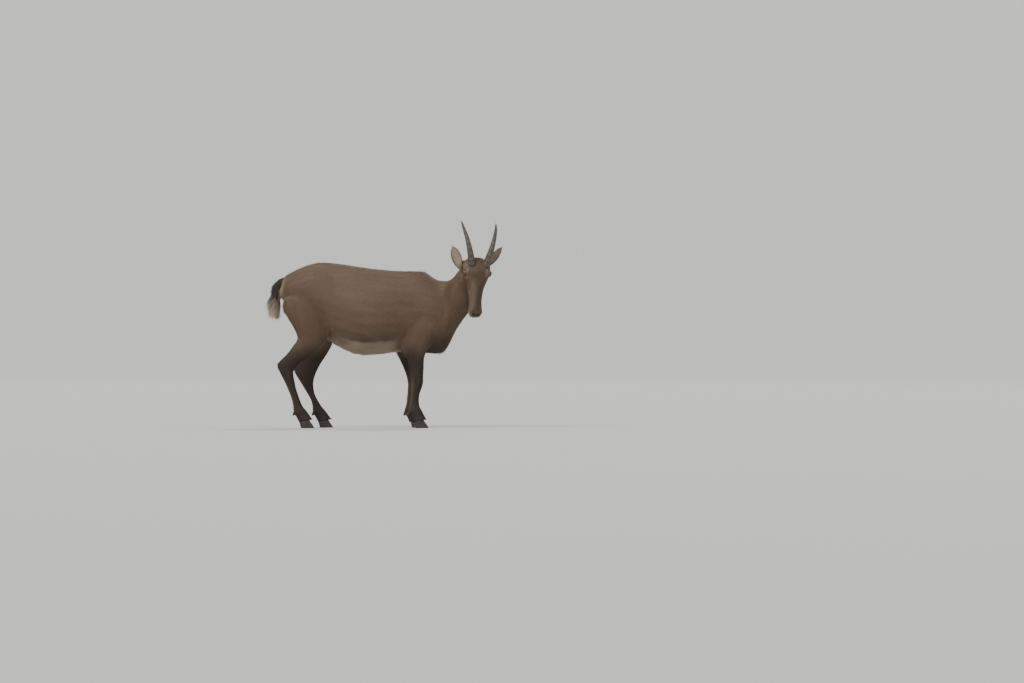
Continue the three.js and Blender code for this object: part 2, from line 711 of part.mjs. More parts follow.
const TRIM_THICK = 80; // the blocks that trim a leg and its claws to each other at the coronet
const TOE_AHEAD = 12; // how far the toe stands out before the coronet
const feet = [];
for (const leg of LEGS) {
  const below = leg.coronet.clone().addScaledVector(leg.coronetUp, -TRIM_THICK / 2 + GAP / 2);
  const above = leg.coronet.clone().addScaledVector(leg.coronetUp, TRIM_THICK / 2 - GAP / 2);
  leg.solid = leg.solid.subtract(block(below, leg.coronetUp, 130, 90, TRIM_THICK));
  for (const [label, outwards] of [["outer", leg.side], ["inner", -leg.side]]) {
    const whole = claw(leg.footX + TOE_AHEAD, leg.y, outwards);
    const trimmed = whole.subtract(block(above, leg.coronetUp, 130, 90, TRIM_THICK));
    feet.push([`hoof_${leg.name}_${label}`, trimmed, "hoof"]);
    const spur = dewclaw(leg, outwards);
    part(spur.root.clone().addScaledVector(spur.way, 3.5), spur.way, 24, 24);
    leg.solid = leg.solid.add(spur.solid);
    leg.spurs = [...(leg.spurs ?? []), [`dewclaw_${leg.name}_${label}`, spur]];
  }
}

const whole = join([trunkSolid(0), head, ...LEGS.map((leg) => leg.solid)]);
const pieces = whole.subtract(join(cuts)).decompose();

// Tail, horns and ears stop just short of the skin that they grow from.
const skin = trunkSolid(GAP).add(headSolid(GAP));
const grown = [
  ["tail", join([solid(tube(TAIL, 10, 12, 8, 8)), ...tailLocks()]), "tail"],
  ["horn_right", horn(-1), "horn"],
  ["horn_left", horn(1), "horn"],
  ...EARS.map((e) => {
    const way = e.way.clone().normalize();
    return [e.name, ear(inHead(...e.root).addScaledVector(way, -EAR_SUNK), way, e.mouth), "coat"];
  }),
].map(([name, made, colour]) => [name, largest(made.subtract(skin)).simplify(SMOOTHED), colour]);

// The piece that holds a point.
function pieceAt(point) {
  const probe = block(point, LEVEL, 1, 1, 1);
  const found = pieces.find((p) => p.volume() > 0 && p.intersect(probe).volume() > 0.1);
  if (!found) throw new Error(`no piece at ${point.toArray().map((v) => v.toFixed(0))}`);
  return found.simplify(SMOOTHED);
}

const named = [
  ["torso", new THREE.Vector3(0, 0, 560), "coat"],
  ["neck", new THREE.Vector3(322, -10, 600), "coat"],
  ["head", inHead(110, 0, 0), "face"],
];
for (const leg of LEGS) {
  const mid = (s) => new THREE.Vector3((s.ax + s.bx) / 2, s.y, (s.az + s.bz) / 2);
  const [upper, lower] = leg.fore ? [6, 11] : [6, 12];
  named.push([`leg_${leg.name}_upper`, mid(leg.stations[upper]), "coat"]);
  named.push([`leg_${leg.name}_lower`, mid(leg.stations[lower]), "leg"]);
  for (const [name, spur] of leg.spurs)
    named.push([name, spur.root.clone().addScaledVector(spur.way, 9), "hoof"]);
}

// One named mesh from a solid, with its own middle as its place.
const ROUGHNESS = { coat: 0.85, leg: 0.85, face: 0.85, tail: 0.8, horn: 0.6, hoof: 0.5, eye: 0.08 };
function meshOf(name, made, finish) {
  const { vertProperties, triVerts, numProp } = made.getMesh();
  const positions = new THREE.Float32BufferAttribute(vertProperties.length, 3);
  positions.array.set(vertProperties);
  if (numProp !== 3) throw new Error(`${name} carries more than its positions`);
  const geometry = new THREE.BufferGeometry();
  geometry.setAttribute("position", positions);
  geometry.setIndex(new THREE.BufferAttribute(triVerts, 1));
  geometry.computeBoundingBox();
  const place = geometry.boundingBox.getCenter(new THREE.Vector3());
  geometry.translate(-place.x, -place.y, -place.z);
  geometry.computeVertexNormals();
  const material = new THREE.MeshStandardMaterial({
    color: COLOURS[finish],
    roughness: ROUGHNESS[finish],
    metalness: 0,
  });
  const mesh = new THREE.Mesh(geometry, material);
  mesh.name = name;
  mesh.position.copy(place);
  return mesh;
}

const ibex = new THREE.Group();
for (const [name, point, finish] of named) ibex.add(meshOf(name, pieceAt(point), finish));
for (const [name, made, finish] of [...grown, ...feet]) ibex.add(meshOf(name, made, finish));
ibex.add(meshOf("eye_right", socket(eyes[0], EYE_RADIUS), "eye"));
ibex.add(meshOf("eye_left", socket(eyes[1], EYE_RADIUS), "eye"));

// The animal's own frame has its origin under the middle of its bounding box, on the ground.
const extent = new THREE.Box3().setFromObject(ibex);
const under = extent.getCenter(new THREE.Vector3()).setZ(extent.min.z);
ibex.position.sub(under);
export default ibex;
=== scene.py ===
import bmesh
import bpy
import numpy as np
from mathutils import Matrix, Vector


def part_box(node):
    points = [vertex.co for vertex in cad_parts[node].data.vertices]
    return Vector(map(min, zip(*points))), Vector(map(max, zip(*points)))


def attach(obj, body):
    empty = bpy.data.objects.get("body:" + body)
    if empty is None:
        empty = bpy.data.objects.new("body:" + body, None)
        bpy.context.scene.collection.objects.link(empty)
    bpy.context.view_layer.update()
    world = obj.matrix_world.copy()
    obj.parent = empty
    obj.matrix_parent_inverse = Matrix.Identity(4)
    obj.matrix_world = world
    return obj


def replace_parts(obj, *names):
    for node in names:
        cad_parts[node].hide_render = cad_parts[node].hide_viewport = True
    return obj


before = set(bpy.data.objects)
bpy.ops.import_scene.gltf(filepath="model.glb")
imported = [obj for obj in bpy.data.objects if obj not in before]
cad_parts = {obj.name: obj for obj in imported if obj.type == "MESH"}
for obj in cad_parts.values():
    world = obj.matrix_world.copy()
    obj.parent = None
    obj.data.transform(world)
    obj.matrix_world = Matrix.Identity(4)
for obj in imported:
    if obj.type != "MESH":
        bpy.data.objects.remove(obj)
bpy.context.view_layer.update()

# The hide. On the living animal it is one skin over muscle and bone, from the lips to the coronets.
# It is wrapped round the solids of trunk, neck, head and legs as one even surface, smoothed, and
# drawn in by the depth of the hair that stands on it. The face is then raised and hollowed.
# Lengths are millimetres until a mesh is made, with x along the body to the front, y to its left
# and z up from the ground.
MM = 0.001
BODY_MESH = 5.4  # the side of the cubes that the hide is wrapped with
SWELL = 0.6  # how far each solid grows to meet its neighbours
FLESH = ["torso", "neck", "head", "eye_right", "eye_left"]
FLESH += [f"leg_{end}_{side}_{half}" for end in ("fore", "hind") for side in ("right", "left")
          for half in ("upper", "lower")]


def rows_of(items, value, kind, width):
    """One value of all the points, edges or corners of a mesh, as rows of so many numbers."""
    flat = np.empty(len(items) * width, kind)
    items.foreach_get(value, flat)
    return flat.reshape(-1, width)


def corner_lists(mesh):
    """The points of a mesh of loose triangles, with like corners merged into one, and its triangles
    as rows of three of them."""
    places = rows_of(mesh.vertices, "co", float, 3)
    corners = rows_of(mesh.loops, "vertex_index", int, 1).ravel()
    points, same = np.unique(places.round(7), axis=0, return_inverse=True)
    return points / MM, same.reshape(-1)[corners].reshape(-1, 3)


def unit(vectors):
    """Each vector divided by its own length."""
    return vectors / np.maximum(np.linalg.norm(vectors, axis=-1, keepdims=True), 1e-9)


def summed(at, rows, count):
    """For each of so many points, the sum of the rows that belong to it."""
    return np.stack([np.bincount(at, column, count) for column in rows.T], 1)


def outward(points, faces):
    """The normal at each point: the sum of its triangles' cross products, made unit length."""
    a, b, c = points[faces].transpose(1, 0, 2)
    cross = np.cross(b - a, c - a)
    return unit(summed(faces.ravel(), np.repeat(cross, 3, axis=0), len(points)))


def new_mesh(name, points, faces):
    """A mesh from points in millimetres and a table of faces with equal numbers of corners."""
    mesh = bpy.data.meshes.new(name)
    sides = faces.shape[1]
    mesh.vertices.add(len(points))
    mesh.vertices.foreach_set("co", (np.asarray(points, np.float32) * MM).ravel())
    mesh.loops.add(faces.size)
    mesh.loops.foreach_set("vertex_index", faces.ravel().astype(np.int32))
    mesh.polygons.add(len(faces))
    mesh.polygons.foreach_set("loop_start", np.arange(0, faces.size, sides, dtype=np.int32))
    mesh.update(calc_edges=True)
    mesh.shade_smooth()
    return mesh


def placed(name, data):
    """A new object in the scene that holds a mesh, a lamp or a lens."""
    made = bpy.data.objects.new(name, data)
    bpy.context.scene.collection.objects.link(made)
    return made


def show(name, mesh, material):
    """The mesh as a piece of the animal, with its material, attached to the root body."""
    piece = placed(name, mesh)
    piece.data.materials.append(material)
    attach(piece, "root")
    return piece


def wrapped(name, nodes, voxel, swell):
    """One closed surface round some solids: each is swollen along its normals until it meets its
    neighbours, and a grid of cubes of one size is wrapped round them all."""
    all_points, all_faces, start = [], [], 0
    for node in nodes:
        points, faces = corner_lists(bpy.data.objects[node].data)
        all_points.append(points + swell * outward(points, faces))
        all_faces.append(faces + start)
        start += len(points)
    raw = placed(name, new_mesh(name, np.vstack(all_points), np.vstack(all_faces)))
    cubes = raw.modifiers.new("cubes", "REMESH")
    cubes.mode = "VOXEL"
    cubes.voxel_size = voxel * MM
    seen = raw.evaluated_get(bpy.context.evaluated_depsgraph_get())
    made = bpy.data.meshes.new_from_object(seen)
    bpy.data.objects.remove(raw)
    return made


def places_of(mesh):
    """The points of a mesh, in millimetres."""
    return rows_of(mesh.vertices, "co", float, 3) / MM


def edges_of(mesh):
    """The two ends of every edge."""
    return rows_of(mesh.edges, "vertices", int, 2)


def triangles_of(mesh):
    """The three corners of every triangle that the faces split into."""
    mesh.calc_loop_triangles()
    return rows_of(mesh.loop_triangles, "vertices", int, 3)


def relaxed(points, edges, rounds, share=1.0):
    """Each point moved half way to the mean of its neighbours and then a little further back out,
    again and again, which takes off bumps but keeps the size. share is how much, point by point."""
    a, b = edges.T
    count = np.bincount(np.r_[a, b], minlength=len(points))[:, None]
    for step in [0.5, -0.52] * rounds:
        near = summed(np.r_[a, b], points[np.r_[b, a]], len(points))
        points = points + share * step * (near / count - points)
    return points


def bell(distance):
    """1 at the middle and fading to nothing at about twice the unit distance."""
    return np.exp(-distance**2)


def ramp(low, high, value):
    """0 up to low, 1 from high, and a smooth rise between them."""
    t = np.clip((value - low) / (high - low), 0, 1)
    return t * t * (3 - 2 * t)


# The hide's face is shaped in the head's own frame. Looking round at us, she holds her nose line
# steeply down and her face nearly square to the side of her body.
NOSE_DOWN = np.radians(78)
HEAD_YAW = np.radians(15)
HEAD_ROLL = np.radians(4)
CROWN = np.array([462.0, -152.0, 821.0])  # where the top of the head stands in the drawing
CROWN_IN_HEAD = np.array([10.0, 0.0, 44.0])  # and in the head's own frame
EYE = np.array([84.0, 57.0, 15.0])  # the middle of the left eye, in the head's own frame
EYE_RADIUS = 14.5


def turn_y(angle):
    """The matrix that turns points by an angle about y."""
    c, s = np.cos(angle), np.sin(angle)
    return np.array([[c, 0, s], [0, 1, 0], [-s, 0, c]])


def turn_z(angle):
    """The matrix that turns points by an angle about z."""
    c, s = np.cos(angle), np.sin(angle)
    return np.array([[c, -s, 0], [s, c, 0], [0, 0, 1]])


HEAD_AXES = turn_y(HEAD_ROLL) @ turn_z(HEAD_YAW - np.pi / 2) @ turn_y(NOSE_DOWN)


def middle_of(node):
    """The middle of a solid's box, in millimetres in the part's frame."""
    low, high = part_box(node)
    return (np.array(low) + np.array(high)) / 2 / MM


# The part's frame starts under the middle of the whole animal, so the drawing is moved by the step
# that brings the right eye to its socket.
head_start = CROWN - HEAD_AXES @ CROWN_IN_HEAD
MOVED = middle_of("eye_right") - (head_start + HEAD_AXES @ (EYE * [1, -1, 1]))
HEAD_START = head_start + MOVED


def from_head(points):
    """Points of the head's frame (x to the nose, y to its left, z out of the brow) in the part's:
    turned by the head's axes and moved to its start."""
    return points @ HEAD_AXES.T + HEAD_START


def to_head(points):
    """Points of the part's frame in the head's: the step from the head's start, turned back."""
    return (points - HEAD_START) @ HEAD_AXES


def side_of_head(points, side):
    """Points of the head's left half with y multiplied by side: 1 keeps them, -1 folds them over to
    the right half. The side is one for all, or a column with one for each point."""
    return np.where([False, True, False], side * points, points)


# The axes of the body, from where the hair's lie starts to where it ends, each with a rough radius
# of the flesh round it. The coat's direction, length and marks are worked out from these.
AXES = {
    "head": np.c_[from_head(np.array([[292, 0, -16], [240, 0, -14], [170, 0, -20], [100, 0, -28],
                                      [40, 0, -28], [8, 0, -26]], float)) - MOVED,
                  [30, 34, 44, 66, 66, 52]],
    "neck": np.array([[445, -108, 742, 60], [414, -86, 692, 72], [386, -60, 653, 82],
                      [361, -33, 621, 92], [335, -12, 590, 105], [283, 0, 548, 150]], float),
    "trunk": np.array([[262, 0, 545, 165], [155, 0, 560, 175], [-16, 0, 557, 185],
                       [-114, 0, 562, 190], [-209, 0, 588, 180], [-286, 0, 616, 165],
                       [-348, 0, 636, 150], [-470, 0, 650, 110]], float),
    "fore_right": np.array([[165, -66, 500, 85], [158, -80, 420, 75], [150, -82, 376, 60],
                            [156, -82, 333, 42], [163, -82, 248, 31], [160, -82, 189, 27],
                            [152, -82, 127, 24], [152, -82, 82, 33], [176, -82, 36, 34]], float),
    "fore_left": np.array([[145, 66, 500, 85], [138, 80, 420, 75], [122, 82, 376, 60],
                           [121, 82, 333, 42], [141, 82, 248, 31], [141, 82, 189, 27],
                           [133, 82, 127, 24], [133, 82, 82, 33], [157, 82, 36, 34]], float),
    "hind_right": np.array([[-368, -74, 624, 110], [-364, -80, 554, 115], [-352, -84, 492, 100],
                            [-348, -86, 440, 78], [-362, -87, 401, 56], [-398, -86, 364, 42],
                            [-434, -85, 327, 36], [-464, -84, 294, 40], [-464, -84, 268, 36],
                            [-437, -84, 192, 25], [-419, -84, 143, 22], [-398, -84, 82, 32],
                            [-370, -84, 36, 34]], float),
    "hind_left": np.array([[-356, 74, 617, 110], [-345, 80, 538, 115], [-328, 84, 475, 100],
                           [-322, 86, 420, 78], [-327, 87, 377, 56], [-346, 86, 337, 42],
                           [-364, 85, 300, 36], [-382, 84, 266, 46], [-380, 84, 237, 42],
                           [-352, 84, 167, 25], [-332, 84, 129, 22], [-313, 84, 80, 32],
                           [-284, 84, 35, 34]], float),
}


def along_axis(points, axis):
    """For each point, the nearest place on a bent axis: how far along it is (0 to 1), how far off,
    as a share of the radius there, the axis's direction, and the arm from the axis to the point."""
    start, step = axis[:-1, :3] + MOVED, np.diff(axis[:, :3], axis=0)
    share = np.einsum("ijk,jk->ij", points[:, None] - start, step) / (step**2).sum(1)
    share = np.clip(share, 0, 1)
    foot = start + share[..., None] * step
    away = np.linalg.norm(points[:, None] - foot, axis=2)
    radius = axis[:-1, 3] + share * np.diff(axis[:, 3])
    best = np.argmin(away / radius, axis=1)
    row = np.arange(len(points))
    place = (best + share[row, best]) / len(step)
    return place, (away / radius)[row, best], unit(step)[best], points - foot[row, best]


class Lie:
    """Where points stand on the body: the axis that each belongs to, and the blend of all axes."""

    def __init__(self, points):
        found = [along_axis(points, axis) for axis in AXES.values()]
        reach = np.stack([f[1] for f in found])
        weight = np.exp(-5 * (reach - reach.min(0)))
        weight /= weight.sum(0)
        self.names = list(AXES)
        self.weight = dict(zip(self.names, weight))
        self.nearest = reach.argmin(0)
        self.place = np.stack([f[0] for f in found])[self.nearest, np.arange(len(points))]
        self.arm = np.stack([f[3] for f in found])[self.nearest, np.arange(len(points))]
        self.way = sum(w[:, None] * f[2] for w, f in zip(weight, found))
        self.leg = sum(self.weight[n] for n in self.names if "fore" in n or "hind" in n)


def mirrored(points):
    """Points of the head's frame folded on to its left side."""
    return points * [1, 0, 1] + np.abs(points) * [0, 1, 0]


def ellipse(points, centre, radii):
    """Distance from a centre in the head's frame, both sides alike, in units of three radii."""
    return np.linalg.norm((mirrored(points) - centre) / radii, axis=1)


SHORTEST_HAIR, LONGEST_HEAD_HAIR = 2.8, 16
EYE_SOCKET = [28, 22, 24]  # three radii of the ground round an eye where the hair is short


def hair_length(points, lie):
    """Millimetres of hair: a body length that grows on crest and breast, a shank length that grows
    up the leg, and a muzzle length that grows to the brow and under the jaw, mixed by how much of
    each a point is, and drawn down to the shortest round the eye."""
    z = points[:, 2]
    face = to_head(points)
    body = 25 + 5 * ramp(640, 760, z) + 5 * bell((points[:, 0] - 330) / 70) * ramp(620, 480, z)
    shank = 9 + 12 * ramp(230, 430, z)
    muzzle = 3.8 + 4.5 * ramp(200, 60, face[:, 0]) + 9 * ramp(-30, -85, face[:, 2])
    on_head = lie.weight["head"]
    length = body * (1 - lie.leg) + shank * lie.leg
    length = length * (1 - on_head) + np.minimum(muzzle, LONGEST_HEAD_HAIR) * on_head
    off_eye = ellipse(face, EYE, EYE_SOCKET)
    return SHORTEST_HAIR + (length - SHORTEST_HAIR) * ramp(0.9, 2.6, off_eye)


# The wrapped hide is evened out, less on the legs, where the forms are small, and most where the
# neck joins the trunk. The hair's tips stand over it by a share of their length.
HAIR_STANDS = 0.18
LEG_TOP, LEG_FULL, LEG_KEPT = 420, 340, 0.75  # heights, and the share of the legs' form kept
NECK_ROOT, NECK_ROOT_REACH, NECK_ROOT_LOW, NECK_ROOT_HIGH = 318, 60, 430, 480
EVEN_ROUNDS, NECK_ROUNDS, LAST_ROUNDS = 10, 50, 4
skin_mesh = wrapped("skin", FLESH, BODY_MESH, SWELL)
skin_edges = edges_of(skin_mesh)
points = places_of(skin_mesh)
evened = 1 - LEG_KEPT * ramp(LEG_TOP, LEG_FULL, points[:, 2:3])
points = relaxed(points, skin_edges, EVEN_ROUNDS, evened)
drawn_at = points - MOVED
at_neck = (bell((drawn_at[:, :1] - NECK_ROOT) / NECK_ROOT_REACH)
           * ramp(NECK_ROOT_LOW, NECK_ROOT_HIGH, drawn_at[:, 2:]))
points = relaxed(points, skin_edges, NECK_ROUNDS, at_neck)
hair_depth = SWELL + HAIR_STANDS * hair_length(points, Lie(points))
points = points - hair_depth[:, None] * outward(points, triangles_of(skin_mesh))
points = relaxed(points, skin_edges, LAST_ROUNDS)
skin_mesh.vertices.foreach_set("co", (points * MM).ravel())


def refine(mesh, centre, radii):
    """Cut in half every edge of the mesh that lies within three radii of a centre in the head's
    frame, and its faces with it."""
    chosen = ellipse(to_head(places_of(mesh)), centre, radii) < 1
    grown = bmesh.new()
    grown.from_mesh(mesh)
    inside = [e for e in grown.edges if chosen[e.verts[0].index] and chosen[e.verts[1].index]]
    bmesh.ops.subdivide_edges(grown, edges=inside, cuts=1, use_grid_fill=True, smooth=0.4)
    grown.to_mesh(mesh)
    grown.free()


# The mesh of the head is made twice as fine, and that round the eyes and the nose twice again.
for centre, radii in (([150, 0, -20], [180, 90, 105]),
                      ([84, 60, 15], [30, 26, 28]),
                      ([276, 10, -14], [34, 34, 44])):
    refine(skin_mesh, centre, radii)

# Swellings and hollows of the face: place, size and height of each, on both sides alike.
FACE_FORMS = [
    ([84, 48, 15], [46, 33, 38], 4.4),  # rim of bone round the eye
    ([72, 52, 36], [22, 14, 11], 3.0),  # bony brow over the eye
    ([52, 56, 22], [14, 14, 12], -2.0),  # temple
    ([120, 40, 6], [17, 16, 13], -3.0),  # hollow in front of the eye
    ([126, 44, -20], [30, 16, 8], 2.4),  # cheek bone
    ([104, 48, -64], [28, 20, 22], 2.6),  # chewing muscle
    ([158, 36, -52], [22, 18, 12], -3.0),  # behind the corner of the mouth
    ([200, 0, 30], [44, 20, 14], 1.8),  # bridge of the nose
    ([268, 22, 2], [13, 9, 9], 2.6),  # wing of the nostril
    ([281, 14, 1], [6.5, 3.6, 4.6], -9.0),  # nostril
    ([272, 13, 8], [7, 3, 3], -3.0),  # slit above the nostril
    ([294, 0, -8], [8, 1.8, 9], -1.6),  # cleft of the upper lip
    ([262, 24, -16], [20, 8, 7], 1.8),  # upper lip
    ([262, 20, -36], [18, 10, 6], 1.2),  # lower lip
    ([272, 0, -47], [14, 12, 8], 2.0),  # chin
]


MOUTH_THICK, MOUTH_WIDE, MOUTH_DEPTH = 1.9, 44, 2.2  # half its gap, half its width, how deep


def mouth_gap(face):
    """How near a point of the head's frame is to the line of the mouth, 1 on it: the line rises a
    little to the front, and fades out at the corner."""
    height = -27 + 0.09 * (face[:, 0] - 236)
    gap = bell((face[:, 2] - height) / MOUTH_THICK)
    return gap * ramp(228, 240, face[:, 0]) * (np.abs(face[:, 1]) < MOUTH_WIDE)


# Each eye looks out to the side, up and a little forwards, through an almond opening that is longer
# along the face than it is tall.
EYE_WAY = unit(np.array([0.28, 0.87, 0.4]))
EYE_LONG = unit(np.array([1.0, 0, -0.3]) - np.dot([1.0, 0, -0.3], EYE_WAY) * EYE_WAY)
EYE_TALL = np.cross(EYE_WAY, EYE_LONG)
SLIT_LONG, SLIT_TALL = 52.0, 33.0  # half the opening between the lids, in degrees
ALMOND = 1.8  # the power of its outline: 2 is an oval, and less draws it to points


def slit_share(face):
    """How far a direction from the eye's middle lies from the way it looks, as a share of the
    almond opening (1 on its edge, more outside it), with the distance and the direction."""
    arm = mirrored(face) - EYE
    way = unit(arm)
    along = np.degrees(np.arcsin(np.clip(way @ EYE_LONG, -1, 1))) / SLIT_LONG
    across = np.degrees(np.arcsin(np.clip(way @ EYE_TALL, -1, 1))) / SLIT_TALL
    share = (np.abs(along) ** ALMOND + np.abs(across) ** ALMOND) ** (1 / ALMOND)
    return np.where(way @ EYE_WAY > 0, share, 9.0), np.linalg.norm(arm, axis=1), way


# The face is evened, then its forms are raised and sunk and the line of the mouth is pressed in.
# Round each eye the hide is drawn on to a ball a little larger than the eye's, and inside the
# opening it is drawn in behind the eye.
BEHIND_EYE, OVER_EYE = 3.0, 0.9
points = places_of(skin_mesh)
skin_edges = edges_of(skin_mesh)
on_head = ellipse(to_head(points), [150, 0, -20], [200, 100, 115]) < 1
points = relaxed(points, skin_edges, 3, on_head[:, None])
face = to_head(points)
height = sum(amount * bell(ellipse(face, centre, radii)) for centre, radii, amount in FACE_FORMS)
height = height - MOUTH_DEPTH * mouth_gap(face) * on_head
points = points + height[:, None] * outward(points, triangles_of(skin_mesh))
face = to_head(points)
share, reach, way = slit_share(face)
lid = np.where(share < 1.15, EYE_RADIUS - BEHIND_EYE, EYE_RADIUS + OVER_EYE)
pull = ramp(2.1, 1.5, share) * ramp(40, 27, reach)
drawn = EYE + way * (reach + pull * (lid - reach))[:, None]
side = np.where(face[:, 1:2] < 0, -1, 1)
face = np.where((pull > 0)[:, None], side_of_head(drawn, side), face)
skin_mesh.vertices.foreach_set("co", (from_head(face) * MM).ravel())
skin_mesh.shade_smooth()

# The hide has the colours of the hair on it. A doe's autumn coat is grey-brown, darker down the
# spine and along the flank, nearly black on the shins, and pale on belly, thigh, rump and chin.
BODY_BROWN = np.array([0.150, 0.096, 0.058])
SPINE_BROWN = np.array([0.060, 0.040, 0.027])
FLANK_DARK = np.array([0.050, 0.034, 0.024])
SHIN_DARK = np.array([0.032, 0.022, 0.016])
PALE = np.array([0.42, 0.34, 0.25])
FACE_BROWN = np.array([0.130, 0.082, 0.050])
MUZZLE_DARK = np.array([0.060, 0.042, 0.030])
BARE_SKIN = np.array([0.016, 0.012, 0.011])
# Painted shade: the hide under the hair is painted darker than the hair on it, as if it lay in the
# shade of the locks.
HIDE_PAINTED_SHADE = 0.8  # how light the hide is beside the hair that stands on it


def waves(points, size, seed):
    """Smooth noise from -1 to 1: a mean of twelve sine waves that run different ways, each about
    size millimetres long."""
    draw = np.random.default_rng(seed)
    ways = unit(draw.normal(size=(12, 3))) * (2 * np.pi / size) * draw.uniform(0.6, 1.5, (12, 1))
    return np.sin(points @ ways.T + draw.uniform(0, 2 * np.pi, 12)).mean(1) * 2.2


def mixed(colour, other, share):
    """A colour, or one for each point, carried towards another by a share, point by point."""
    return colour + (other - colour) * np.clip(share, 0, 1)[:, None]


def coat_colour(points, normals, lie):
    """The hair's colour at points of the hide: a ground colour, and over it one mark after another,
    each mixed in by a mask, a product of soft steps in place and in the way the hide faces. The
    first
    mark is painted light: the coat is made paler where the hide faces up."""
    x, y, z = (points - MOVED).T
    nose_way, head_side, brow_way = to_head(points).T
    faces_front, faces_left, up = normals.T
    wobble = 14 * waves(points, 130, 5)
    trunk, head, leg = lie.weight["trunk"] + lie.weight["neck"], lie.weight["head"], lie.leg
    # Painted light: paler where the hide faces up, as if lit from above, with a slow random change
    # of tone mixed in.
    painted_top_light_and_tone = 0.16 * ramp(-0.1, 0.9, up) + 0.05 * waves(points, 160, 3)
    spine = bell(y / 26) * ramp(0.45, 0.9, up) * trunk
    flank = bell((z - 418 - 0.05 * x + 0.3 * wobble) / 30) * ramp(-260, -170, x) * ramp(190, 90, x)
    breast = ramp(500, 400, z) * ramp(150, 260, x)
    belly = ramp(-0.35, -0.75, up + 0.01 * wobble) * ramp(150, 90, x) * trunk * ramp(470, 400, z)
    behind = ramp(0.25, 0.8, -faces_front) * ramp(60, 140, z) * ramp(300, 200, z)
    inside = ramp(20, 60, 84 - np.abs(y)) * ramp(640, 560, z) * ramp(300, 420, z)
    inside = inside * ramp(-0.2, 0.5, -np.sign(y) * faces_left)
    rump = ramp(-420, -470, x + 0.4 * wobble) * ramp(74, 40, np.abs(y)) * ramp(740, 700, z)
    bridge = bell(head_side / 20) * ramp(5, 20, brow_way) * ramp(60, 110, nose_way)
    crown = ramp(70, 30, nose_way) * ramp(0, 30, brow_way)
    jaw = ramp(-34, -62, brow_way) * ramp(60, 130, nose_way)
    lips = ramp(256, 284, nose_way) * ramp(2, -12, brow_way)
    eye_ring = bell((ellipse(to_head(points), EYE, [34, 26, 27]) - 0.9) / 0.5)
    marks = [(PALE, painted_top_light_and_tone), (SPINE_BROWN, 0.75 * spine), (FLANK_DARK, 0.55 * flank * trunk),
             (FLANK_DARK, 0.7 * breast * trunk), (PALE, 0.85 * belly),
             (SHIN_DARK, 0.9 * ramp(440, 330, z + wobble) * leg),
             (BODY_BROWN * 1.15, 0.65 * behind * leg), (PALE, 0.55 * inside * leg),
             (PALE, 0.8 * rump * ramp(500, 560, z)), (FACE_BROWN, 0.8 * head),
             (MUZZLE_DARK, 0.75 * bridge * head), (SPINE_BROWN, 0.55 * crown * head),
             (PALE, 0.6 * jaw * head), (PALE, 0.5 * lips * head), (PALE, 0.20 * eye_ring * head)]
    colour = BODY_BROWN
    for other, share in marks:
        colour = mixed(colour, other, share)
    return np.clip(colour, 0, 1)


def bareness(points):
    """1 where the hide is naked, the most of three masks: between and round the nostrils, along the
    lips, and round the eye."""
    face = to_head(points)
    nose = bell(ellipse(face, [288, 9, 0], [12, 11, 9]) ** 2)
    share, reach, _ = slit_share(face)
    lids = ramp(1.4, 1.25, share) * (reach < 24)
    naked = np.maximum.reduce([nose, 0.9 * mouth_gap(face), lids])
    return np.clip(naked * (face[:, 0] > 40), 0, 1)


def paint(mesh, name, values):
    """Colours of the points of a mesh, as an attribute that its material reads."""
    layer = mesh.attributes.new(name, "FLOAT_COLOR", "POINT")
    full = np.c_[values, np.ones(len(values))].astype(np.float32)
    layer.data.foreach_set("color", full.ravel())


def mark(mesh, name, values):
    """Vectors at the points of a mesh, as an attribute that its material reads."""
    layer = mesh.attributes.new(name, "FLOAT_VECTOR", "POINT")
    layer.data.foreach_set("vector", np.asarray(values, np.float32).ravel())


def noise_group():
    """A node group that makes a colour darker and lighter by noise: the colour times one plus the
    noise, spread from -1 to 1, times Amount. It puts out the noise too, for relief."""
    group = bpy.data.node_groups.new("uneven", "ShaderNodeTree")
    for label, kind in (("Vector", "Vector"), ("Color", "Color"), ("Scale", "Float"),
                        ("Amount", "Float")):
        group.interface.new_socket(label, in_out="INPUT", socket_type=f"NodeSocket{kind}")
    group.interface.new_socket("Color", in_out="OUTPUT", socket_type="NodeSocketColor")
    group.interface.new_socket("Value", in_out="OUTPUT", socket_type="NodeSocketFloat")
    nodes, links = group.nodes, group.links
    begin, end = nodes.new("NodeGroupInput"), nodes.new("NodeGroupOutput")
    noise = nodes.new("ShaderNodeTexNoise")
    noise.inputs["Detail"].default_value = 4
    spread = nodes.new("ShaderNodeMapRange")
    for label, limit in (("From Min", 0.3), ("From Max", 0.7), ("To Min", -1)):
        spread.inputs[label].default_value = limit
    lift = nodes.new("ShaderNodeMath")
    lift.operation = "MULTIPLY_ADD"
    lift.inputs[2].default_value = 1
    shade = nodes.new("ShaderNodeVectorMath")
    shade.operation = "SCALE"
    for source, out, target, entry in (
            (begin, "Vector", noise, "Vector"), (begin, "Scale", noise, "Scale"),
            (noise, "Fac", spread, "Value"), (spread, "Result", lift, 0),
            (begin, "Amount", lift, 1), (begin, "Color", shade, 0),
            (lift, "Value", shade, "Scale"), (shade, "Vector", end, "Color"),
            (noise, "Fac", end, "Value")):
        links.new(source.outputs[out], target.inputs[entry])
    return group


UNEVEN = noise_group()


def read(nodes, attribute):
    """A node that reads an attribute of the mesh."""
    reader = nodes.new("ShaderNodeAttribute")
    reader.attribute_name = attribute
    return reader


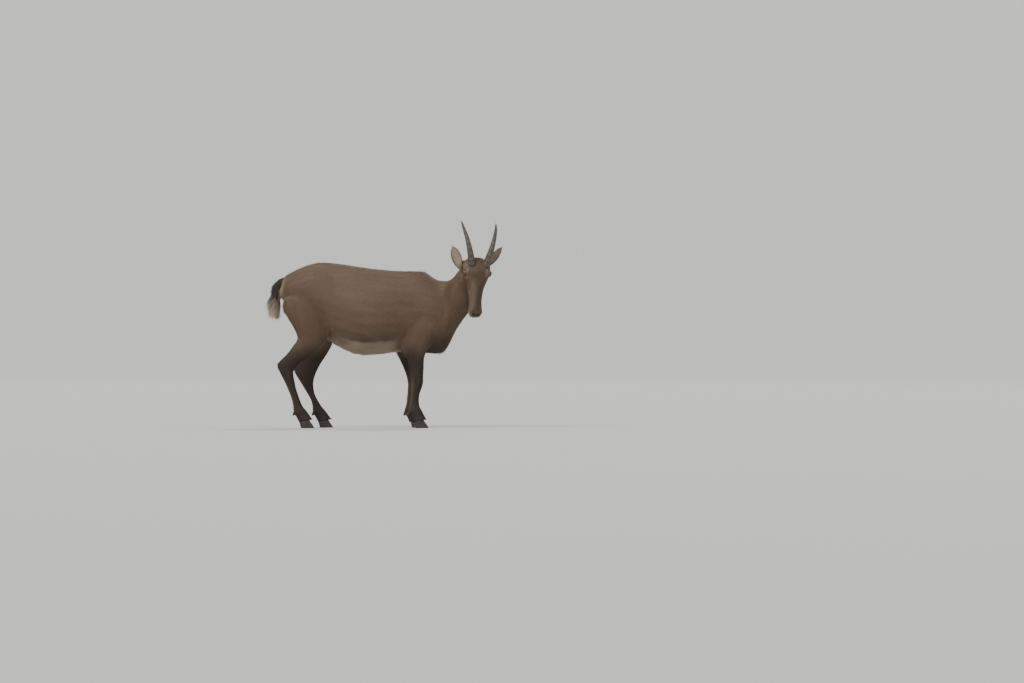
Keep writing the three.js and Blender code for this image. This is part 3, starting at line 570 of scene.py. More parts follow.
def finish_of(name, colour, scale, amount, rough, relief, depth, place=None, stretch=(1, 1, 1)):
    """A material: a colour (an attribute's name or a plain colour) made uneven by noise on Object
    coordinates, or on the attribute that place names, stretched three ways, with relief of a depth
    in metres."""
    made = bpy.data.materials.new(name)
    made.use_nodes = True
    nodes, links = made.node_tree.nodes, made.node_tree.links
    shader = nodes["Principled BSDF"]
    if place is None:
        source = nodes.new("ShaderNodeTexCoord").outputs["Object"]
    else:
        source = read(nodes, place).outputs["Vector"]
    mapping = nodes.new("ShaderNodeMapping")
    mapping.inputs["Scale"].default_value = stretch
    links.new(source, mapping.inputs["Vector"])
    group = nodes.new("ShaderNodeGroup")
    group.node_tree = UNEVEN
    group.inputs["Scale"].default_value = scale
    group.inputs["Amount"].default_value = amount
    links.new(mapping.outputs["Vector"], group.inputs["Vector"])
    if isinstance(colour, str):
        links.new(read(nodes, colour).outputs["Color"], group.inputs["Color"])
    else:
        group.inputs["Color"].default_value = (*colour, 1)
    links.new(group.outputs["Color"], shader.inputs["Base Color"])
    shader.inputs["Roughness"].default_value = rough
    bump = nodes.new("ShaderNodeBump")
    bump.inputs["Strength"].default_value = relief
    bump.inputs["Distance"].default_value = depth
    links.new(group.outputs["Value"], bump.inputs["Height"])
    links.new(bump.outputs["Normal"], shader.inputs["Normal"])
    return made


hide = finish_of("hide under the hair", "coat", scale=420, amount=0.35, rough=0.72, relief=0.5,
                 depth=0.0012)
skin = show("skin", skin_mesh, hide)
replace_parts(skin, *[node for node in FLESH if not node.startswith("eye")])
skin_points = places_of(skin_mesh)
skin_faces = triangles_of(skin_mesh)
skin_normals = outward(skin_points, skin_faces)
skin_lie = Lie(skin_points)
skin_bare = bareness(skin_points)
# Painted shade: the coat's colour, made darker on the hide under the locks.
under_hair = HIDE_PAINTED_SHADE * coat_colour(skin_points, skin_normals, skin_lie)
paint(skin_mesh, "coat", mixed(under_hair, BARE_SKIN, skin_bare))

# The coat. Guard hairs grow in small locks that lie back along the body and down its sides. Each
# lock here is one thin closed spear with its root in the hide, and the locks overlap like thatch.
LOCK_THICK = 0.5
ROOT_DEPTH = 0.9  # how far below the hide a lock starts
# Painted shade and light: each lock is painted darker at its root, where the coat over it shades
# it, and lighter at its tip, which stands out in the light.
ROOT_PAINTED_SHADE, TIP_PAINTED_LIGHT = 0.82, 1.12  # a lock is darker at its root and lighter at its tip
STRAND_STEP = 40  # how far apart two locks can lie in the noise that tints them
HAIR_ROUND = 0.8  # how far the shading of a lock turns to its sides
LAYERS, LEG_LAYERS_LESS, HEAD_LAYERS_LESS = 3.06, 0.8, 0.3  # times that the locks cover the hide
SPARSEST = 4.8  # shorter hair grows no closer than hair of this length
PATCH = 0.003  # the side of a lock's own square on the map of the hide
HAIR = finish_of("guard hair", "coat", scale=3.0, amount=0.3, rough=0.62, relief=0.25, depth=0.0006,
                 place="strand", stretch=(5, 0.7, 1))


def locks(name, root, normal, way, length, height, width, colour, patch, seed, droop=None):
    """Locks of hair as one mesh: each has a three-cornered ring at its root and a point at its tip,
    which is its length along its way and stands at its height over the hide. Where a droop is given
    a second ring half way bends the lock over, and its tip sinks by that share of the length. The
    patch puts the whole lock in one small square of the map of the hide."""
    draw = np.random.default_rng(seed)
    count = len(root)
    across = unit(np.cross(normal, way))
    ring = np.array([[-0.5, 0.0], [0.5, 0.0], [0.0, 1.0]])
    levels = [(0.0, np.full(count, -ROOT_DEPTH), 0.8, 0.0)]
    root_to_tip_painted_shade = [ROOT_PAINTED_SHADE]
    corners = [[0, 2, 1]]
    spot = [[0, 0], [1, 0], [0.5, 0.2]]
    if droop is not None:
        levels.append((0.5, 0.72 * height, 1.0, 0.3 * droop))
        root_to_tip_painted_shade.append(1.0)
        corners += [[0, 1, 4], [0, 4, 3], [1, 2, 5], [1, 5, 4], [2, 0, 3], [2, 3, 5]]
        spot += [[0, 0.5], [1, 0.5], [0.5, 0.7]]
    tip = 3 * len(levels)
    corners += [[tip - 3, tip - 2, tip], [tip - 2, tip - 1, tip], [tip - 1, tip - 3, tip]]
    points = np.empty((count, tip + 1, 3))
    strand = np.empty_like(points)
    facing = np.empty_like(points)
    own = draw.uniform(0, 1, count)
    for i, (far, high, wide, fall) in enumerate(levels):
        middle = root + way * (far * length)[:, None] + normal * high[:, None]
        middle[:, 2] -= fall * length
        for j, (side, raised) in enumerate(ring):
            k = 3 * i + j
            points[:, k] = middle + across * (side * wide * width)[:, None]
            points[:, k] += normal * (raised * LOCK_THICK)
            strand[:, k] = np.stack([side + own * STRAND_STEP, np.full(count, far), own], 1)
            facing[:, k] = normal + HAIR_ROUND * 2 * side * across
    points[:, tip] = root + way * length[:, None] + normal * height[:, None]
    points[:, tip, 2] -= (droop or 0) * length
    strand[:, tip] = np.stack([own * STRAND_STEP, np.ones(count), own], 1)
    facing[:, tip] = normal + 0.3 * way
    faces = (np.array(corners)[None] + (tip + 1) * np.arange(count)[:, None, None]).reshape(-1, 3)
    mesh = new_mesh(name, points.reshape(-1, 3), faces)
    mesh.normals_split_custom_set_from_vertices(unit(facing).reshape(-1, 3).astype(np.float32))
    # Painted shade at the root, rising to painted light at the tip.
    root_to_tip_painted_shade = np.r_[np.repeat(root_to_tip_painted_shade, 3), TIP_PAINTED_LIGHT]
    tinted = colour[:, None] * (1 + 0.3 * (own - 0.5))[:, None, None] * root_to_tip_painted_shade[:, None]
    paint(mesh, "coat", np.clip(tinted, 0, 1).reshape(-1, 3))
    mark(mesh, "strand", strand.reshape(-1, 3))
    layer = mesh.uv_layers.new(name="OFBake")
    spots = np.array(spot + [[0.5, 1]]) * PATCH
    at = (patch[:, None] * 0.99 + 0.002 + spots[None]).reshape(-1, 2)[faces.ravel()]
    layer.data.foreach_set("uv", at.astype(np.float32).ravel())
    return mesh


def areas(points, faces):
    """The area of each triangle: half the length of the cross product of two sides."""
    a, b, c = points[faces].transpose(1, 0, 2)
    return np.linalg.norm(np.cross(b - a, c - a), axis=1) / 2


def scattered(points, faces, normals, weight, count, seed):
    """Points spread over a surface, as many to an area as the weight at its corners says: the
    place and normal of each, its shares of three corners, and the corners."""
    draw = np.random.default_rng(seed)
    total = np.cumsum(areas(points, faces) * weight[faces].mean(1))
    aim = (np.arange(count) + draw.uniform(0, 1, count)) * total[-1] / count
    chosen = faces[np.minimum(np.searchsorted(total, aim), len(faces) - 1)]
    draw.shuffle(chosen)
    u, v = draw.uniform(0, 1, (2, count))
    turned = u + v > 1
    u, v = np.where(turned, 1 - u, u), np.where(turned, 1 - v, v)
    share = np.stack([1 - u - v, u, v], 1)
    place = (points[chosen] * share[..., None]).sum(1)
    return place, unit((normals[chosen] * share[..., None]).sum(1)), share, chosen


def combed(points, normals, lie, seed):
    """The way the hair lies: along the blended axes of the body and downwards on its sides, bent a
    little by slow waves so that locks gather, parted round the eyes, and laid flat on the hide."""
    draw = np.random.default_rng(seed)
    down = np.array([0, 0, -1.0])
    on_head = lie.weight["head"]
    sag = 0.55 * (1 - np.abs(normals[:, 2])) * (1 - on_head)
    gather = np.stack([waves(points, 38, 40 + k) for k in range(3)], 1)
    drift = gather * (0.16 - 0.08 * on_head)[:, None]
    way = unit(lie.way) + sag[:, None] * down + drift + 0.09 * draw.normal(size=points.shape)
    eyes = from_head(side_of_head(EYE, np.sign(to_head(points)[:, 1:2])))
    off_eye = np.linalg.norm(points - eyes, axis=1)[:, None]
    way = way + 1.9 * ramp(44, 20, off_eye) * (points - eyes) / off_eye
    way = way - (way * normals).sum(1)[:, None] * normals
    return unit(way)


def hollowness(points, edges, normals):
    """How sharply the hide bends inwards at each point, as one over the radius in millimetres: the
    mean over the edges of twice the rise over the square of the length, evened out."""
    a, b = edges.T
    step = points[b] - points[a]
    rise = np.r_[(step * normals[a]).sum(1), -(step * normals[b]).sum(1)]
    bend = 2 * rise / np.tile((step**2).sum(1), 2)
    count = np.bincount(edges.ravel(), minlength=len(points))
    bend = np.bincount(np.r_[a, b], bend, len(points)) / count
    for _ in range(8):
        bend = (bend + np.bincount(np.r_[a, b], bend[np.r_[b, a]], len(points)) / count) / 2
    return np.maximum(bend, 0)


skin_hollow = hollowness(skin_points, skin_edges, skin_normals)


def lock_width(long):
    """A lock's width at its root, in millimetres: a least width and a share of its length."""
    return 0.42 + 0.047 * long


def coat(name, limbs, pieces, seed):
    """The coat of some limbs, in a few pieces: so many locks that together they cover the hide as
    many times over as LAYERS says, with their length, lie and colour worked out at their roots, and
    a strip of the map for each limb, along it and round it. In a hollow of the hide the tips are
    raised by what the hide rises over the lock's length."""
    own = np.isin(skin_lie.nearest, [skin_lie.names.index(limb) for limb in limbs])
    length = hair_length(skin_points, skin_lie)
    layers = LAYERS - LEG_LAYERS_LESS * skin_lie.leg - HEAD_LAYERS_LESS * skin_lie.weight["head"]
    spaced = np.maximum(length, SPARSEST)
    haired = own * layers * (1 - ramp(0.3, 0.6, skin_bare))
    weight = haired * 2 / (spaced * lock_width(spaced)) + 1e-9
    count = int((areas(skin_points, skin_faces) * weight[skin_faces].mean(1)).sum() / pieces)
    for piece in range(pieces):
        first = seed + 10 * piece
        root, normal, share, corner = scattered(skin_points, skin_faces, skin_normals, weight,
                                                count, first)
        kept = bareness(root) < 0.3
        root, normal, share, corner = root[kept], normal[kept], share[kept], corner[kept]
        off_eye = ellipse(to_head(root), EYE, EYE_SOCKET)
        hollow = (skin_hollow[corner] * share).sum(1) * ramp(1.2, 3.0, off_eye)
        lie = Lie(root)
        way = combed(root, normal, lie, first + 1)
        draw = np.random.default_rng(first + 2)
        long = hair_length(root, lie) * draw.uniform(0.75, 1.2, len(root))
        high = HAIR_STANDS * long * draw.uniform(0.45, 1.0, len(root))
        high = high + np.minimum(0.6 * hollow * long**2, 0.4 * long)
        axis_up = np.cross(lie.way, [0, 1.0, 0])
        angle = np.arctan2(lie.arm[:, 1], (lie.arm * axis_up).sum(1)) / (2 * np.pi) + 0.5
        strip = sum((lie.nearest == lie.names.index(limb)) * i for i, limb in enumerate(limbs))
        patch = np.stack([lie.place, (strip + 0.98 * angle) / len(limbs)], 1)
        colour = coat_colour(root, normal, lie)
        mesh = locks(f"coat_{name}_{piece + 1}", root, normal, way, long, high, lock_width(long),
                     colour, patch, first + 3)
        show(mesh.name, mesh, HAIR)


coat("trunk", ["trunk"], 3, 100)
coat("neck", ["neck"], 1, 200)
coat("head", ["head"], 2, 300)
coat("forelegs", ["fore_right", "fore_left"], 2, 400)
coat("hindlegs", ["hind_right", "hind_left"], 2, 500)


# The ears. Each is a leaf of gristle folded into a cup, covered with fine hair: brown behind, pale
# inside, with a dark edge. The right one stands up, and the left one is carried out to the side.
EAR_LENGTH, EAR_WIDTH, EAR_SUNK, EAR_ARCH = 128.0, 50.0, 24.0, 9
EAR_HAIR_DEPTH = 0.8
EAR_HALF_WIDTH = (np.array([0.12, 0.48, 0.86, 1, 0.92, 0.64, 0.07]) * EAR_WIDTH / 2
                  - EAR_HAIR_DEPTH)
EAR_FOLD = np.array([4, 13, 19, 17, 11.5, 6.5, 2.4]) - EAR_HAIR_DEPTH
EAR_HOLLOW = np.array([0.02, 0.2, 0.75, 0.84, 0.78, 0.6, 0.4])  # share of the fold, root to tip
EAR_CUP_WIDTH = 0.93  # the cup's width as a share of the back's
EAR_HAIR_STANDS = 0.16


def through(values, u):
    """A smooth curve through evenly spaced values, from u = 0 to 1: on each stretch the cubic whose
    slopes at its ends are half the difference of the values on either side."""
    t = (len(values) - 1) * u
    i = np.clip(t.astype(int), 0, len(values) - 2)
    f = t - i
    a, b, c, d = (values[np.clip(i + k, 0, len(values) - 1)] for k in (-1, 0, 1, 2))
    return b + 0.5 * f * (c - a + f * (2 * a - 5 * b + 4 * c - d + f * (3 * (b - c) + d - a)))


def curve(points, u):
    """The same through the rows of a table of points, column by column."""
    return np.stack([through(column, u) for column in points.T], -1)


def rolled_faces(rows, columns):
    """The four-cornered faces of a grid of rows that each close on themselves."""
    at = np.arange(rows * columns).reshape(rows, columns)
    on = np.roll(at, -1, axis=1)
    return np.stack([at[:-1], on[:-1], on[1:], at[1:]], -1).reshape(-1, 4)


def closed_grid(name, grid):
    """A mesh from a grid of rows that close on themselves, its first and last row each drawn to a
    point at their middle. It is turned outwards if the volume it holds comes out negative."""
    rows, columns = grid.shape[:2]
    quads = rolled_faces(rows, columns)
    points = np.vstack([grid.reshape(-1, 3), grid[0].mean(0), grid[-1].mean(0)])
    first, last = np.arange(columns), np.arange(columns) + (rows - 1) * columns
    start = np.stack([np.full(columns, len(points) - 2), np.roll(first, -1), first], 1)
    end = np.stack([np.full(columns, len(points) - 1), last, np.roll(last, -1)], 1)
    faces = np.vstack([quads[:, [0, 1, 2]], quads[:, [0, 2, 3]], start, end])
    a, b, c = points[faces].transpose(1, 0, 2)
    if np.einsum("ij,ij->", a, np.cross(b, c)) < 0:
        faces = faces[:, ::-1]
    return new_mesh(name, points, faces)


def ear(root, way, mouth, u, angle, inner):
    """Points of the ear: u along its way and, from that line, the sine of an angle across by its
    half width and the cosine backwards by its fold. The inner side, the floor of the cup, is
    narrower and shallower. The whole arches towards its mouth near the root."""
    way = unit(np.array(way))
    out = unit(np.array(mouth) - np.dot(mouth, way) * way)
    across = np.cross(way, out)
    fold = through(EAR_FOLD, u)
    deep = fold * through(EAR_HOLLOW, u) if inner else fold
    wide = through(EAR_HALF_WIDTH, u) * (EAR_CUP_WIDTH if inner else 1)
    start = from_head(np.array(root, float)) - EAR_SUNK * way
    arch = EAR_ARCH - EAR_ARCH * u * u
    return (start + (u * EAR_LENGTH)[..., None] * way + arch[..., None] * out
            + (wide * np.sin(angle))[..., None] * across - (deep * np.cos(angle))[..., None] * out)


EARS = {
    "ear_right": ([50, -74, -26], [-0.34, 0.08, 0.93], [-0.35, -0.93, 0.05]),
    "ear_left": ([26, 60, -26], [0.66, 0.08, 0.75], [0.75, -0.6, -0.25]),
}
EAR_ROWS, EAR_HALF_SIDES, EAR_LOCKS = 56, 25, 9000
EAR_INSIDE = np.array([0.30, 0.22, 0.17])
EAR_EDGE = np.array([0.035, 0.024, 0.018])
ear_skin = finish_of("ear skin", "coat", scale=380, amount=0.25, rough=0.7, relief=0.35,
                     depth=0.0008)
for number, (name, (root, way, mouth)) in enumerate(EARS.items()):
    u, step = np.meshgrid(np.linspace(0, 1, EAR_ROWS), np.linspace(0, 1, EAR_HALF_SIDES),
                          indexing="ij")
    back = ear(root, way, mouth, u, np.pi * (step - 0.5), False)
    cup = ear(root, way, mouth, u, np.pi * (0.5 - step), True)
    ear_mesh = closed_grid(name, np.concatenate([back, cup], axis=1))
    points, faces = places_of(ear_mesh), triangles_of(ear_mesh)
    normals = outward(points, faces)
    edge = np.abs(np.abs(step - 0.5) - 0.5)
    rim = np.r_[np.concatenate([bell(edge / 0.09), bell(edge / 0.05)], axis=1).ravel(), 0, 1]
    tip = np.r_[np.concatenate([u, u], axis=1).ravel(), 0, 1]
    inside = np.r_[np.repeat([[0.0, 1.0]], EAR_ROWS, 0).repeat(EAR_HALF_SIDES, 1).ravel(), 0, 1]
    colour = mixed(1.1 * FACE_BROWN, EAR_INSIDE, inside * ramp(0.1, 0.36, tip))
    colour = mixed(colour, EAR_EDGE, np.maximum(0.8 * rim, 0.7 * ramp(0.8, 1, tip)))
    # Painted shade: the ear's skin is painted darker than the hair that grows on it, as if shaded
    # by that hair.
    paint(ear_mesh, "coat", 0.85 * colour)
    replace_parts(show(name, ear_mesh, ear_skin), name)
    weight = (1 - 0.45 * inside + 0.6 * rim) * ramp(0.02, 0.10, tip) + 1e-9
    root_at, normal, share, corner = scattered(points, faces, normals, weight, EAR_LOCKS,
                                               700 + number)
    along, on_rim, in_cup = [(values[corner] * share).sum(1) for values in (tip, rim, inside)]
    draw = np.random.default_rng(720 + number)
    from_line = root_at - ear(root, way, mouth, along, 0 * along, False)
    lie_way = unit(np.array(way)) + 0.12 * draw.normal(size=(EAR_LOCKS, 3))
    lie_way = lie_way + 0.3 * unit(from_line) * on_rim[:, None]
    lie_way = unit(lie_way - 0.9 * (lie_way * normal).sum(1)[:, None] * normal)
    long = (5.5 + 4 * in_cup + 2.5 * on_rim) * draw.uniform(0.7, 1.2, EAR_LOCKS)
    colour = (colour[corner] * share[..., None]).sum(1)
    colour = mixed(colour, PALE, 0.55 * in_cup * (1 - on_rim) * ramp(0.1, 0.4, along))
    angle = np.arctan2(from_line[:, 1], from_line[:, 0])
    patch = np.stack([along, angle / (2 * np.pi) + 0.5], 1)
    mesh = locks(f"coat_{name}", root_at, normal, lie_way, long, EAR_HAIR_STANDS * long,
                 lock_width(long), colour, patch, 740 + number)
    show(f"coat_{name}", mesh, HAIR)


# The eyes. Each ball is wet and glassy, amber-brown round a long pupil that she keeps level, with
# a darker rim, and the front of it bulges a little.
EYE_ROWS, EYE_SIDES = 84, 112
IRIS_RADIUS, PUPIL_LONG, PUPIL_TALL = 10.6, 5.4, 2.0
IRIS, IRIS_EDGE = np.array([0.20, 0.10, 0.028]), np.array([0.030, 0.015, 0.008])
EYE_BLACK, EYE_WHITE = np.array([0.003, 0.003, 0.004]), np.array([0.10, 0.07, 0.055])
EYE_LOOSE, EYE_BULGE, EYE_BULGE_WIDE = 0.15, 0.9, 22  # the last in degrees off the way it looks


def round_turn(count):
    """So many angles, evenly spaced over a full turn from 0."""
    return np.arange(count) / count * 2 * np.pi


wet = bpy.data.materials.new("wet eye")
wet.use_nodes = True
eye_shader = wet.node_tree.nodes["Principled BSDF"]
eye_paint = read(wet.node_tree.nodes, "coat").outputs["Color"]
wet.node_tree.links.new(eye_paint, eye_shader.inputs["Base Color"])
for label, amount in (("Roughness", 0.12), ("Coat Weight", 1.0), ("Coat Roughness", 0.02)):
    eye_shader.inputs[label].default_value = amount
off, round_it = np.meshgrid(np.linspace(0.004, np.pi - 0.004, EYE_ROWS), round_turn(EYE_SIDES),
                            indexing="ij")
ball = (np.cos(off)[..., None] * EYE_WAY + (np.sin(off) * np.cos(round_it))[..., None] * EYE_LONG
        + (np.sin(off) * np.sin(round_it))[..., None] * EYE_TALL)
bulge = EYE_RADIUS - EYE_LOOSE + EYE_BULGE * bell(np.degrees(off) / EYE_BULGE_WIDE)
ball_points = (EYE + bulge[..., None] * ball).reshape(-1, 3)
for name, side in (("eye_right", -1), ("eye_left", 1)):
    grid = from_head(side_of_head(ball_points, side)).reshape(EYE_ROWS, EYE_SIDES, 3)
    mesh = closed_grid(name, grid)
    looks = HEAD_AXES @ (EYE_WAY * [1, side, 1])
    level = unit(np.cross([0, 0, 1.0], looks))
    arm = places_of(mesh) - from_head(side_of_head(EYE, side))
    along, across = arm @ level, arm @ np.cross(looks, level)
    from_way = np.hypot(along, across)
    fibres = 0.5 + 0.5 * np.sin(38 * np.arctan2(across, along) + 5 * np.sin(from_way))
    colour = mixed(IRIS, IRIS_EDGE, 0.35 * fibres + ramp(6, 10.2, from_way))
    colour = mixed(colour, EYE_WHITE, ramp(IRIS_RADIUS, IRIS_RADIUS + 0.8, from_way))
    pupil = (np.abs(along / PUPIL_LONG) ** 3 + np.abs(across / PUPIL_TALL) ** 3) ** (1 / 3)
    colour = mixed(colour, EYE_BLACK, ramp(1.12, 0.95, pupil) * (arm @ looks > 0))
    paint(mesh, "coat", colour)
    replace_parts(show(name, mesh, wet), name)


# The lids. A rim of dark bare skin lies close round each eye, thickest at its edge, with a fold
# behind the upper one, and thins out under the hair.
LID_STEPS = 72
# Its section, a closed loop: degrees beyond the opening, and millimetres over the ball.
LID_SPREAD = np.array([0, 0.2, 1.0, 3, 6, 10, 15, 21, 27, 21, 10, 3])
LID_HEIGHT = np.array([0.25, 0.7, 1.1, 1.25, 1.05, 1.3, 1.15, 0.8, 0, -0.4, -0.2, 0.1])
bare_lid = finish_of("bare lid", (0.034, 0.024, 0.018), scale=700, amount=0.3, rough=0.55,
                     relief=0.4, depth=0.0006)
around = round_turn(LID_STEPS)
opening = np.stack([np.sign(np.cos(around)) * np.abs(np.cos(around)) ** 1.12, np.sin(around)])
for name, side in (("lids_right", -1), ("lids_left", 1)):
    along = np.radians((SLIT_LONG + LID_SPREAD[:, None]) * opening[0])
    across = np.radians((SLIT_TALL + LID_SPREAD[:, None]) * opening[1])
    way = unit((np.cos(along) * np.cos(across))[..., None] * EYE_WAY
               + np.sin(along)[..., None] * EYE_LONG + np.sin(across)[..., None] * EYE_TALL)
    thick = LID_HEIGHT[:, None] * (1 + 0.25 * np.abs(opening[1]))
    hoop = from_head(side_of_head(EYE + (EYE_RADIUS + thick)[..., None] * way, side))
    at = np.arange(hoop.shape[0] * LID_STEPS).reshape(-1, LID_STEPS)
    next_row, next_step = np.roll(at, -1, axis=0), np.roll(at, -1, axis=1)
    both = np.roll(next_row, -1, axis=1)
    quads = np.stack([at, next_step, both, next_row], -1).reshape(-1, 4)
    mesh = new_mesh(name, hoop.reshape(-1, 3), quads[:, ::-side])
    show(name, mesh, bare_lid)


# The horns. A doe's are short and thin, oval, ringed all the way and swept back in an even curve,
# with a sheath of dull brown horn over a core of bone.
HORN_LINE = np.array([[54, 29, 24], [36, 37, 44], [-14, 52, 66], [-69, 66, 67], [-122, 79, 49],
                      [-164, 86, 24]], float)
HORN_DEPTH, HORN_WIDTH, HORN_RINGS = 40.0, 39.0, 11
HORN_ROWS, HORN_SIDES = 280, 56
HORN_SUNK, HORN_END = 0.13, 0.997  # where the mesh starts and ends, as shares of the line
HORN_FIT = 0.985  # how much narrower it is made than the solid round it
RING_RISE, FINE_RISE, RIDGE_RISE = 0.085, 0.010, 0.012  # as shares of the radius
HORN_BROWN, HORN_PALE = np.array([0.040, 0.030, 0.022]), np.array([0.125, 0.095, 0.067])
sheath = finish_of("horn sheath", "coat", scale=150, amount=0.22, rough=0.5, relief=0.3,
                   depth=0.0008)
t = np.linspace(-HORN_SUNK, HORN_END, HORN_ROWS)
horn_line = curve(HORN_LINE, t)
horn_way = unit(np.gradient(horn_line, axis=0))
horn_across = unit(np.array([0, 1.0, 0]) - horn_way[:, 1:2] * horn_way)
horn_fore = np.cross(horn_across, horn_way)
taper = (1 - t) ** 0.58 * (1 - 0.12 * t) + 0.012
angle = round_turn(HORN_SIDES)
along = np.maximum(t, 0)
saw = (HORN_RINGS * along**0.88 + 0.03 * np.sin(23 * t)) % 1
ring_shape = ramp(0, 0.25, saw) * ramp(1.0, 0.35, saw) - 0.5
fine = np.sin(2 * np.pi * (32 * along**0.95 + 0.4 * np.sin(31 * t) + 0.3 * np.sin(17 * t + 1)))
front = 0.55 + 0.45 * np.cos(angle)
relief = RING_RISE * ring_shape[:, None] * front + FINE_RISE * fine[:, None]
ridges = RIDGE_RISE * np.sin(5 * angle + 9 * t[:, None])
grow = 1 + (1 - 0.7 * t)[:, None] * relief + ridges
radial = (np.cos(angle)[:, None] * horn_fore[:, None] * HORN_DEPTH / 2
          + np.sin(angle)[:, None] * horn_across[:, None] * HORN_WIDTH / 2)
horn_grid = horn_line[:, None] + radial * (taper[:, None] * grow)[..., None] * HORN_FIT
worn = (ring_shape + 0.14 * fine)[:, None] * front
shade = np.r_[(0.42 + 0.5 * worn - 0.5 * ramp(0.55, 1, t)[:, None]).ravel(), 0.3, 0]
horn_colour = mixed(HORN_BROWN, HORN_PALE, shade)
for name, side in (("horn_right", -1), ("horn_left", 1)):
    mesh = closed_grid(name, from_head(side_of_head(horn_grid, side)))
    paint(mesh, "coat", horn_colour)
    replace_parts(show(name, mesh, sheath), name)


# The hooves. Each foot stands on two claws of dark horn with a hard edge and a softer heel, ringed
# faintly by growth, and two small dewclaws hang behind the fetlock.
CLAW_MESH, DEWCLAW_SUNK = {"hoof": 1.8, "dewclaw": 1.2}, 3.5
claw_horn = finish_of("claw horn", (0.030, 0.025, 0.021), scale=1.0, amount=0.4, rough=0.46,
                      relief=0.4, depth=0.0008, stretch=(40, 40, 420))
for end in ("fore_right", "fore_left", "hind_right", "hind_left"):
    for where in ("outer", "inner"):
        for kind, cube in CLAW_MESH.items():
            node = f"{kind}_{end}_{where}"
            mesh = wrapped(node, [node], cube, 0)
            smooth = relaxed(places_of(mesh), edges_of(mesh), 3)
            smooth[:, 2] = np.maximum(smooth[:, 2], 0)
            if kind == "dewclaw":
                to_leg = skin_points - smooth.mean(0)
                nearest = to_leg[np.argmin(np.linalg.norm(to_leg, axis=1))]
                smooth = smooth + DEWCLAW_SUNK * unit(nearest)
            mesh.vertices.foreach_set("co", (smooth * MM).ravel())
            mesh.shade_smooth()
            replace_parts(show(node, mesh, claw_horn), node)


# The tail. A short flat dock hangs from the croup, clothed above and at its sides with long dark
# locks, and under its end hangs a tuft of pale hair that the light shines through.
TAIL_OVER = np.array([[-458, 728], [-492, 716], [-520, 692],
                      [-531, 658], [-534, 626], [-531, 602]], float)
TAIL_UNDER = np.array([[-452, 698], [-472, 680], [-484, 656],
                       [-494, 630], [-503, 608], [-508, 594]], float)
TAIL_HALF = np.array([22, 24, 24, 23, 20, 14], float)
TAIL_ROWS, TAIL_SIDES, DOCK_INSET = 40, 32, 6.0
TAIL_ROOTS, TAIL_CORE = 6.5, 12.0  # insets of the locks' roots, and of the core they stand out from
TAIL_DARK, TAIL_PALE = np.array([0.035, 0.024, 0.017]), np.array([0.50, 0.40, 0.29])


def dock(t, angle, inset):
    """Points of the dock: t along it and an angle round its oval section, whose half height is half
    the way from the lower line to the upper one, both drawn in from the hair's outline by an
    inset."""
    over, under = curve(TAIL_OVER, t), curve(TAIL_UNDER, t)
    half = through(TAIL_HALF, t) - inset
    middle, up = (over + under) / 2, (over - under) / 2
    up = up * (1 - inset / np.linalg.norm(up, axis=-1, keepdims=True))
    x = middle[..., 0] + up[..., 0] * np.sin(angle)
    z = middle[..., 1] + up[..., 1] * np.sin(angle)
    return np.stack([x, half * np.cos(angle), z], -1) + MOVED


t, angle = np.meshgrid(np.linspace(0, 1, TAIL_ROWS), round_turn(TAIL_SIDES), indexing="ij")
mesh = closed_grid("tail_dock", dock(t, angle, DOCK_INSET))
below = np.r_[ramp(0.1, -0.6, np.sin(angle)).ravel(), 1, 1]
paint(mesh, "coat", mixed(TAIL_DARK, TAIL_PALE, 0.6 * below))
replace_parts(show("tail_dock", mesh, hide), "tail")


def tail_locks(name, count, t_range, turn_range, long_range, spread, droop, pale_from, seed):
    """Locks rooted on the dock between two places and two angles, lying down along it and
    spreading from it, their tips drawn down by their weight, and pale beyond one place."""
    draw = np.random.default_rng(seed)
    t, angle = draw.uniform(*t_range, count), draw.uniform(*turn_range, count)
    root, ahead = dock(t, angle, TAIL_ROOTS), dock(t + 0.04, angle, TAIL_ROOTS)
    normal = unit(root - dock(t, angle, TAIL_CORE))
    way = unit(unit(ahead - root) + spread * normal + 0.10 * draw.normal(size=(count, 3)))
    normal = unit(normal - (normal * way).sum(1)[:, None] * way)
    long = draw.uniform(*long_range, count) * (0.75 + 0.4 * t)
    pale = ramp(pale_from - 0.14, pale_from + 0.14, t + 0.09 * draw.normal(size=count))
    tint = mixed(TAIL_DARK, TAIL_PALE, pale)
    tint = tint * draw.uniform(0.7, 1.25, (count, 1))
    patch = np.stack([t * 0.95, angle / (2 * np.pi) % 1], 1)
    mesh = locks(name, root, normal, way, long, 0.10 * long, 0.6 + 0.019 * long, tint, patch,
                 seed + 1, droop)
    show(name, mesh, HAIR)


tail_locks("tail_over", 6000, t_range=(0.02, 0.96), turn_range=(-0.5, np.pi + 0.5),
           long_range=(26, 50), spread=0.14, droop=0.16, pale_from=0.74, seed=800)
tail_locks("tail_tuft", 3200, t_range=(0.62, 1.0), turn_range=(0, 2 * np.pi),
           long_range=(34, 68), spread=0.42, droop=0.16, pale_from=0.68, seed=820)
tail_locks("tail_under", 1800, t_range=(0.2, 0.95), turn_range=(np.pi + 0.4, 2 * np.pi - 0.4),
           long_range=(22, 44), spread=0.10, droop=0.25, pale_from=0.2, seed=840)


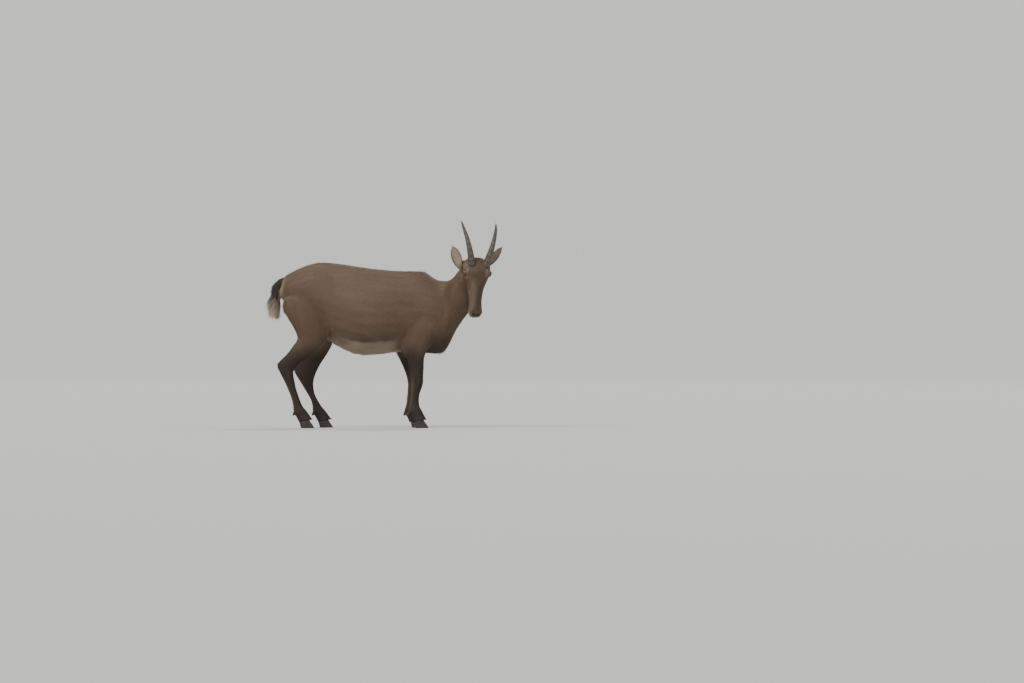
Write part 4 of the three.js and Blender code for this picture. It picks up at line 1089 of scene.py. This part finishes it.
# The studio. The animal stands on a wide round sheet of pale paper that turns up all round into a
# wall, far enough off for every view. These lengths are metres.
STAGE_REACH, STAGE_BEND, WALL_TOP, STAGE_SIDES = 60.0, 26.0, 27.0, 160
bend = np.linspace(0, np.pi / 2, 20)
reach = np.r_[2, 12, 24, STAGE_REACH - STAGE_BEND * (1 - np.sin(bend)), STAGE_REACH]
height = np.r_[0, 0, 0, STAGE_BEND * (1 - np.cos(bend)), WALL_TOP]
around = round_turn(STAGE_SIDES)
bowl = np.stack([reach[:, None] * np.cos(around), reach[:, None] * np.sin(around),
                 np.repeat(height[:, None], STAGE_SIDES, 1)], -1).reshape(-1, 3)
sheets = rolled_faces(len(reach), STAGE_SIDES)
first_ring = np.arange(STAGE_SIDES)
hub = np.stack([np.full(STAGE_SIDES, len(bowl)), first_ring, np.roll(first_ring, -1)], 1)
floor_faces = np.vstack([sheets[:, [0, 2, 1]], sheets[:, [0, 3, 2]], hub])
floor_mesh = new_mesh("floor", np.vstack([bowl, [0, 0, 0]]) / MM, floor_faces)
paper = bpy.data.materials.new("studio paper")
paper.use_nodes = True
paper_shader = paper.node_tree.nodes["Principled BSDF"]
paper_shader.inputs["Base Color"].default_value = (0.60, 0.60, 0.59, 1)
paper_shader.inputs["Roughness"].default_value = 0.9
floor = placed("floor", floor_mesh)
floor.data.materials.append(paper)


# The light is that of a bright sky, with three large soft lamps: one over her right shoulder, a
# weak one before her, and one behind that lights the edges of the coat.
def lamp(name, place, strength, softness, colour):
    """A lamp as far off as the sun that shines from a direction, with shadows as soft as those of
    a disc so many degrees wide."""
    data = bpy.data.lights.new(name, "SUN")
    data.energy, data.angle, data.color = strength, np.radians(softness), colour
    made = placed(name, data)
    made.location = place
    made.rotation_mode = "QUATERNION"
    made.rotation_quaternion = (-Vector(place)).to_track_quat("-Z", "Y")


lamp("key", (-2.4, -3.4, 3.4), 2.3, 28, (1.0, 0.97, 0.93))
lamp("fill", (4.0, -2.6, 2.6), 0.5, 45, (0.93, 0.96, 1.0))
lamp("rim", (1.2, 2.6, 3.0), 1.3, 20, (1.0, 0.95, 0.88))
room = bpy.data.worlds.new("room")
bpy.context.scene.world = room
room.use_nodes = True
sky = room.node_tree.nodes["Background"]
sky.inputs["Color"].default_value = (0.80, 0.83, 0.86, 1)
sky.inputs["Strength"].default_value = 0.7

# The camera stands far off on the animal's right, level with its belly, with a long lens, so that
# 4.8 mm at the animal is one pixel of a picture 1024 pixels wide, as in the photo.
LENS, SENSOR = 200.0, 36.0
MM_PER_PIXEL, PICTURE = 4.8, np.array([1024, 683])
ORIGIN_PIXEL = np.array([383, 428])  # where the drawing's own origin stands in the picture
NEAR_SIDE = 40  # how far the side that the scale is taken at lies this way of the middle
distance = MM_PER_PIXEL * PICTURE[0] * LENS / SENSOR
across, up = (PICTURE / 2 - ORIGIN_PIXEL) * MM_PER_PIXEL * [1, -1]
lens = bpy.data.cameras.new("camera")
lens.lens, lens.sensor_width = LENS, SENSOR
lens.clip_end = 200
camera = placed("camera", lens)
camera.location = np.array([across + MOVED[0], -distance + MOVED[1] - NEAR_SIDE, up]) * MM
camera.rotation_euler = (np.pi / 2, 0, 0)
bpy.context.scene.camera = camera
